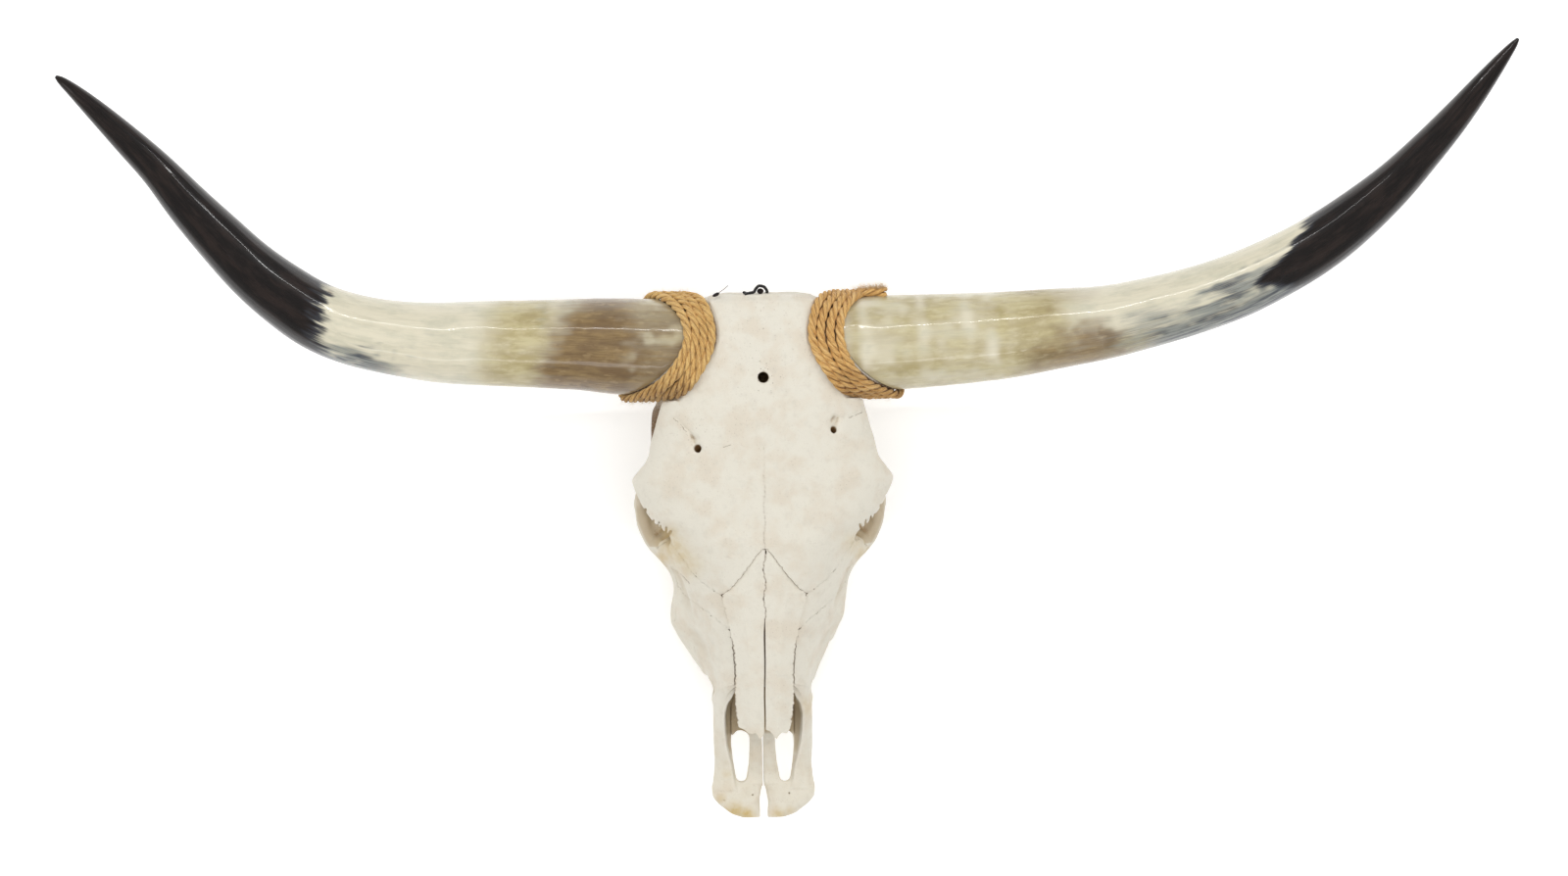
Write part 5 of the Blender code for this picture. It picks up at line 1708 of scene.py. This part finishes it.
def make_snout(step, finish):
    """Both premaxillae."""
    snout = snout_clay(step)
    weather(snout, 11)
    wide, fine = crowding(snout, HOLLOW_REACH), crowding(snout, SNOUT_CREASE)
    for side, name in SIDES:
        def region(x, t, z, side=side):
            face = SEAM_GAP - np.minimum(beyond_snout_suture(t, z), beyond_palate(x, t, z))
            return np.maximum(0.7 - side * x, face).astype(np.float32)

        points, quads = largest_body(*snout.skin(region))
        marks = bone_marks(points, wide, fine)
        x, t, z = np.abs(points[:, 0]), points[:, 1], points[:, 2]
        # Painted tan shade on the inner slope of each arm, down into the nose's opening
        inner = slope_to(read_off(SNOUT_ARM, t, 5) - x, -0.4, 2.4) * slope_to(z, 57, 60)
        inner = inner * (1 - slope_to(t, 440, 470)) * slope_to(x, 24, 27)
        marks["hollow"] = np.maximum(marks["hollow"], 0.63 * inner)
        points = crisp(points, snout, region)
        make_piece("premaxilla_bone_" + name, points, [quads], finish, "bone", ("premaxilla_" + name,), marks)


def make_nasals(step, finish):
    """Both nasal bones, dark along their open seams."""
    for side, name in SIDES:
        nasal = nasal_clay(side, step)
        weather(nasal, 41 + side, 0.7)

        def region(x, t, z, side=side, name=name):
            end = np.interp(side * x, *zip(*NASAL_ENDS[name]))
            open_seam = 0.07 + 0.75 * slope_to(t, 306, 326)
            border = nasal_border(x, t) + nasal_gap(t)
            inner = open_seam - side * (x - nasal_seam(t)) + 0 * z
            return within((t - end) * 0.6, border, inner).astype(np.float32)

        points, quads = largest_body(*nasal.skin(region))
        marks = bone_marks(points, crowding(nasal, HOLLOW_REACH), crowding(nasal, SNOUT_CREASE))
        marks["hollow"] = marks["hollow"] * 0.9
        x, t, z = points.T
        # Painted shade down in the gap beside the midline, and darker rims along the open seams
        deep = (1 - slope_to(side * x, 1, 1.8)) * slope_to(read_off(NASALS, t, 2) - z, 0.9, 2)
        closed = 0.7 * slope_to(t, 286, 296) * (1 - slope_to(t, 322, 336))
        rim = np.minimum(-nasal_border(x, t) - nasal_gap(t) + closed, side * (x - nasal_seam(t)))
        rim_darkening = (0.62 + 0.3 * np.sin(1.9 * t) * np.sin(0.37 * t)) * (1 - slope_to(t, 408, 416))
        marks["dark"] = np.maximum(marks["dark"], np.maximum(deep, rim_darkening * (1 - slope_to(rim, 0.25, 0.95))))
        points = crisp(points, nasal, region)
        make_piece("nasal_bone_" + name, points, [quads], finish, "bone", ("nasal_" + name,), marks)


def finish_left_and_right(skull):
    """Details that differ from side to side."""
    for x, t, radius, lean_x, lean_t in VESSEL_HOLES:
        top = surface_height(skull, x, t)
        depth = 1.2
        if radius > VESSEL_DEEP:
            depth = 13
            dish = (x - 0.6 * lean_x, t - 0.5 * lean_t, top + 1.6)
            skull.cut(lump(dish, (5, 7, 3.4), (0, 0, lean_x * 3)), 5)
        skull.cut(limb([
            (x, t, top + 2.5, radius * 1.15),
            (x + 0.2 * lean_x, t + 0.2 * lean_t, top - 0.23 * depth, radius),
            (x + lean_x, t + lean_t, top - depth, radius * 0.8),
        ], 3), 1.2)
    skull.add(limb(CHEEK_SWELLING), 8)
    for places, radius, sink in VESSEL_GROOVES:
        groove(skull, places, radius, sink)
    for x, t, half_width, half_length, turn in RIM_NICKS:
        skull.cut(lump((x, t, 142), (half_width, half_length, 13), (0, 0, turn)), 0.5)


def surface_height(clay, x, t):
    """Height of the topmost skin over a place."""
    i = round((x - clay.low[0]) / clay.step)
    j = round((t - clay.low[1]) / clay.step)
    column = clay.depth[i, j]
    inside = np.nonzero(column < 0)[0]
    if not len(inside):
        raise ValueError(f"there is no bone under {x}, {t}")
    k = inside[-1]
    share = column[k] / (column[k] - column[k + 1]) if k + 1 < len(column) else 0
    return clay.low[2] + clay.step * (k + share)


def groove(clay, places, radius, sink):
    """A narrow furrow in the top skin, through places of x and t."""
    path = []
    for x, t in curve_through(places, 6 * len(places)):
        path.append((x, t, surface_height(clay, x, t) + radius - sink - radius * 0.4, radius))
    clay.cut(limb(path, 1), 0.8)


def make_teeth(step, finish):
    """Both rows of cheek teeth."""
    clay = teeth_clay(step)
    weather(clay, 51, 0.35)
    points, quads = clay.skin()
    marks = {"crease": crowding(clay, TOOTH_CREASE).feel(points)}
    for side, name in SIDES:
        row, faces = points * (side, 1, 1), [quads[:, ::side]]
        make_piece("tooth_row_" + name, row, faces, finish, "teeth", ("teeth_" + name,), marks)


def make_horns(rings, sides, finish):
    """Both horn sheaths."""
    for name, axis, seed, colouring in (
        ("left", LEFT_HORN, 61, left_horn_marks), ("right", RIGHT_HORN, 66, right_horn_marks),
    ):
        points, faces, reach, nose, grain = horn_skin(axis, rings, sides, seed)
        marks = {"grain": grain, **colouring(reach, nose, grain)}
        make_piece("sheath_" + name, points, faces, finish, "horn", ("horn_" + name,), marks)


def make_ropes(finishes, fibre_finish, lay, fibres):
    """The rope wound round each neck, with its stray fibres and the frayed end on the right."""
    for (side, name), finish in zip(SIDES, finishes):
        path = winding_path(side, 91 + side)
        points, faces, marks = rope_strands(path, lay)
        hairy = [path]
        if name == "right":
            end = curve_through(ROPE_END, 60)
            end_points, end_faces, end_marks = rope_strands(end, lay, 0.5)
            points, faces = joined([(points, faces), (end_points, end_faces)])
            marks = {key: np.concatenate([marks[key], end_marks[key]]) for key in marks}
            # The frayed end has more than its share of stray fibres
            hairy = [path, end, end, end[30:]]
        # Painted shade on the rope's side towards the nose, with random patches
        nose_side_shade = 0.45 * slope_to(points[:, 1], HORN_T + 8, HORN_T + 52) + 0.2 * ripple(points, 12, 97 + side)
        marks["deep"] = np.clip(marks["deep"] + nose_side_shade, 0, 1)
        make_piece("winding_" + name, points, faces, finish, "rope", ("rope_" + name,), marks, SMOOTH)
        points, faces = loose_fibres(hairy, fibres, 95 + side)
        make_piece("stray_fibres_" + name, points, faces, fibre_finish, "rope", sharp=SMOOTH)


def screw_skin():
    """Points and faces of the wood screw, with its cross slot and thread."""
    head, point = np.array(SCREW_HEAD), np.array(SCREW_POINT)
    axis = unit(point - head)
    length = np.linalg.norm(point - head)
    threads = int((length - 4) / THREAD_PITCH)
    outline = SCREW_OUTLINE + [(1.5 + 0.28 * (i % 2), 1.6 + THREAD_PITCH * i) for i in range(threads)]
    turn = full_turn(SCREW_SIDES)
    across = unit(np.cross(axis, (1.0, 0, 0)))
    other = np.cross(axis, across)
    rows = []
    for radius, along in [*outline, (0.05, length - 0.4)]:
        ring = head + axis * along + radius * (across * np.cos(turn)[:, None] + other * np.sin(turn)[:, None])
        if along < -0.9:
            slot = (np.abs(np.sin(2 * turn)) * radius < 0.62) & (radius < 2.2)
            ring = ring + axis * 0.9 * slot[:, None]
        rows.append(ring)
    hub = len(rows) * SCREW_SIDES
    faces = [tube_faces(len(rows), SCREW_SIDES), end_caps(len(rows), SCREW_SIDES, hub)]
    return np.concatenate([*rows, [head - axis * 0.6, point]]), faces


def make_hanger(wire, steel):
    """The wire loop over its screw at the crown, with the chip and the strand beside it."""
    points, faces, _ = tube(curve_through(WIRE_ROUTE, 150), WIRE_RADIUS, 14)
    make_piece("wire_loop", points, faces, wire, "wire_black", ("hanger_wire",))
    chip = curve_through(CROWN_CHIP, 16)
    points, faces, _ = tube(chip[:, :3], chip[:, 3], 10)
    make_piece("crown_chip", points, faces, steel, "screw_steel")
    points, faces, _ = tube(curve_through(CROWN_STRAND, 22), STRAND_RADIUS, 6)
    make_piece("crown_strand", points, faces, wire, "wire_black", sharp=SMOOTH)
    make_piece("wood_screw", *screw_skin(), steel, "screw_steel", ("hanger_screw",))


def make_camera():
    """A camera over the skull, a little to its left, with the crown at the top."""
    camera = bpy.data.objects.new("camera", bpy.data.cameras.new("camera"))
    camera.data.lens = LENS
    camera.data.sensor_width = 36
    camera.data.sensor_fit = "HORIZONTAL"
    camera.data.clip_end = 50
    camera.matrix_world = (
        Matrix.Translation(AIM) @ Matrix.Rotation(math.radians(-CAMERA_TURN), 4, "Y")
        @ Matrix.Rotation(math.radians(CAMERA_ROLL), 4, "Z") @ Matrix.Translation((0, 0, CAMERA_DISTANCE))
    )
    bpy.context.scene.collection.objects.link(camera)
    bpy.context.scene.camera = camera


def make_stage(brightness):
    """The floor, the lights and the camera."""
    mesh = bpy.data.meshes.new("floor")
    corners = [(-FLOOR_HALF, -FLOOR_HALF, 0), (FLOOR_HALF, -FLOOR_HALF, 0)]
    corners += [(-x, -y, z) for x, y, z in corners]
    mesh.from_pydata(corners, [], [(0, 1, 2, 3)])
    mesh.materials.append(floor_finish())
    floor = bpy.data.objects.new("floor", mesh)
    bpy.context.scene.collection.objects.link(floor)
    for name, place, aim, size, power, glossy in LIGHTS:
        light = bpy.data.objects.new(name, bpy.data.lights.new(name, "AREA"))
        light.data.shape = "RECTANGLE"
        light.data.size, light.data.size_y = size
        light.data.energy = power * brightness
        light.location = place
        light.rotation_euler = (Vector(aim) - Vector(place)).to_track_quat("-Z", "Y").to_euler()
        light.visible_glossy = glossy
        bpy.context.scene.collection.objects.link(light)
    world = bpy.data.worlds.new("studio")
    world.use_nodes = True
    background = world.node_tree.nodes["Background"].inputs
    background["Color"].default_value = (1, 1, 1, 1)
    background["Strength"].default_value = WORLD_STRENGTH * brightness
    bpy.context.scene.world = world
    bpy.context.scene.view_settings.view_transform = "Standard"
    make_camera()


# ---- sizes, colours and operators

def colour_setting(name, description, default):
    """A colour property, its default given as 0 to 255 screen values."""
    return FloatVectorProperty(
        name=name, description=description, default=tone(*default), subtype="COLOR", size=3, min=0, max=1,
    )


def number_setting(kind, name, description, default, low, high):
    """A number property with its limits."""
    return kind(name=name, description=description, default=default, min=low, max=high)


class SkullSizes(bpy.types.PropertyGroup):
    """Sizes and counts that a user may change."""

    bone_step: number_setting(
        FloatProperty, "Bone grid", "Spacing of the grid for the bones, in millimetres", 1.3, 0.9, 3,
    )
    tooth_step: number_setting(
        FloatProperty, "Tooth grid", "Spacing of the grid for the teeth, in millimetres", 0.7, 0.4, 2,
    )
    horn_rings: number_setting(IntProperty, "Horn rings", "Rings of points along a sheath", 480, 60, 900)
    horn_sides: number_setting(IntProperty, "Horn sides", "Points round a sheath", 120, 24, 256)
    rope_lay: number_setting(
        FloatProperty, "Rope lay", "Length of one full turn of a strand, in millimetres", 31, 10, 60,
    )
    rope_fibres: number_setting(IntProperty, "Stray fibres", "Loose fibres on each rope", 600, 0, 900)
    brightness: number_setting(FloatProperty, "Light", "Strength of the studio light", 1, 0.1, 4)


class SkullColours(bpy.types.PropertyGroup):
    """Colours that a user may change."""

    bone_light: colour_setting("Bone", "Clean bone", (227, 222, 208))
    bone_warm: colour_setting("Warm bone", "Warmer patches of the bone", (222, 213, 196))
    bone_yellow: colour_setting("Yellow stain", "Grease stains on the bone", (200, 170, 96))
    enamel: colour_setting("Enamel", "Sides of the teeth", (214, 196, 156))
    horn_ivory: colour_setting("Ivory horn", "Palest part of the horn", (224, 217, 194))
    horn_black: colour_setting("Black horn", "Tips of the horns", (15, 9, 7))
    rope_left: colour_setting("Left rope", "Fibres of the left rope", (240, 206, 134))
    rope_right: colour_setting("Right rope", "Fibres of the right rope", (236, 195, 124))
    rope_shade: colour_setting("Rope shade", "Darker fibres of both ropes", (178, 124, 64))


class SKULL_OT_bones(bpy.types.Operator):
    """Shape the skull's bones"""

    bl_idname = "skull.bones"
    bl_label = "Bones"

    def execute(self, context):
        scene = context.scene
        make_bones(scene.skull_sizes.bone_step, bone_finish(scene.skull_colours))
        return {"FINISHED"}


class SKULL_OT_teeth(bpy.types.Operator):
    """Set the cheek teeth in the upper jaws"""

    bl_idname = "skull.teeth"
    bl_label = "Teeth"

    def execute(self, context):
        scene = context.scene
        make_teeth(scene.skull_sizes.tooth_step, tooth_finish(scene.skull_colours))
        return {"FINISHED"}


class SKULL_OT_horns(bpy.types.Operator):
    """Sweep the two horn sheaths"""

    bl_idname = "skull.horns"
    bl_label = "Horns"

    def execute(self, context):
        sizes = context.scene.skull_sizes
        make_horns(sizes.horn_rings, sizes.horn_sides, horn_finish(context.scene.skull_colours))
        return {"FINISHED"}


class SKULL_OT_ropes(bpy.types.Operator):
    """Wind the rope round both horn necks"""

    bl_idname = "skull.ropes"
    bl_label = "Ropes"

    def execute(self, context):
        sizes, colours = context.scene.skull_sizes, context.scene.skull_colours
        finishes = [
            rope_finish("golden_sisal", colours.rope_left, colours.rope_shade),
            rope_finish("orange_sisal", colours.rope_right, colours.rope_shade),
        ]
        make_ropes(finishes, fibre_finish(), sizes.rope_lay, sizes.rope_fibres)
        return {"FINISHED"}


class SKULL_OT_hanger(bpy.types.Operator):
    """Bend the hanging wire over its screw"""

    bl_idname = "skull.hanger"
    bl_label = "Hanger"

    def execute(self, context):
        make_hanger(wire_finish(), screw_finish())
        return {"FINISHED"}


class SKULL_OT_stage(bpy.types.Operator):
    """Set up the floor, the lights and the camera"""

    bl_idname = "skull.stage"
    bl_label = "Stage"

    def execute(self, context):
        make_stage(context.scene.skull_sizes.brightness)
        return {"FINISHED"}


class SKULL_PT_panel(bpy.types.Panel):
    """The skull's sizes, colours and pieces"""

    bl_idname = "SKULL_PT_panel"
    bl_label = "Longhorn skull"
    bl_space_type = "VIEW_3D"
    bl_region_type = "UI"
    bl_category = "Skull"

    def draw(self, context):
        layout = self.layout
        for group in (context.scene.skull_sizes, context.scene.skull_colours):
            column = layout.column(align=True)
            for name in group.__annotations__:
                column.prop(group, name)
        for operator in OPERATORS:
            layout.operator(operator.bl_idname)


OPERATORS = (SKULL_OT_stage, SKULL_OT_bones, SKULL_OT_teeth, SKULL_OT_horns, SKULL_OT_ropes, SKULL_OT_hanger)
CLASSES = (SkullSizes, SkullColours, *OPERATORS, SKULL_PT_panel)


def register():
    """Add the skull's settings, operators and panel to Blender."""
    for item in CLASSES:
        bpy.utils.register_class(item)
    bpy.types.Scene.skull_sizes = PointerProperty(type=SkullSizes)
    bpy.types.Scene.skull_colours = PointerProperty(type=SkullColours)


def unregister():
    """Take them away again."""
    del bpy.types.Scene.skull_colours
    del bpy.types.Scene.skull_sizes
    for item in reversed(CLASSES):
        bpy.utils.unregister_class(item)


def main():
    """Make the whole model."""
    register()
    bpy.ops.skull.stage()
    bpy.ops.skull.bones()
    bpy.ops.skull.teeth()
    bpy.ops.skull.horns()
    bpy.ops.skull.ropes()
    bpy.ops.skull.hanger()


if __name__ == "__main__":
    main()
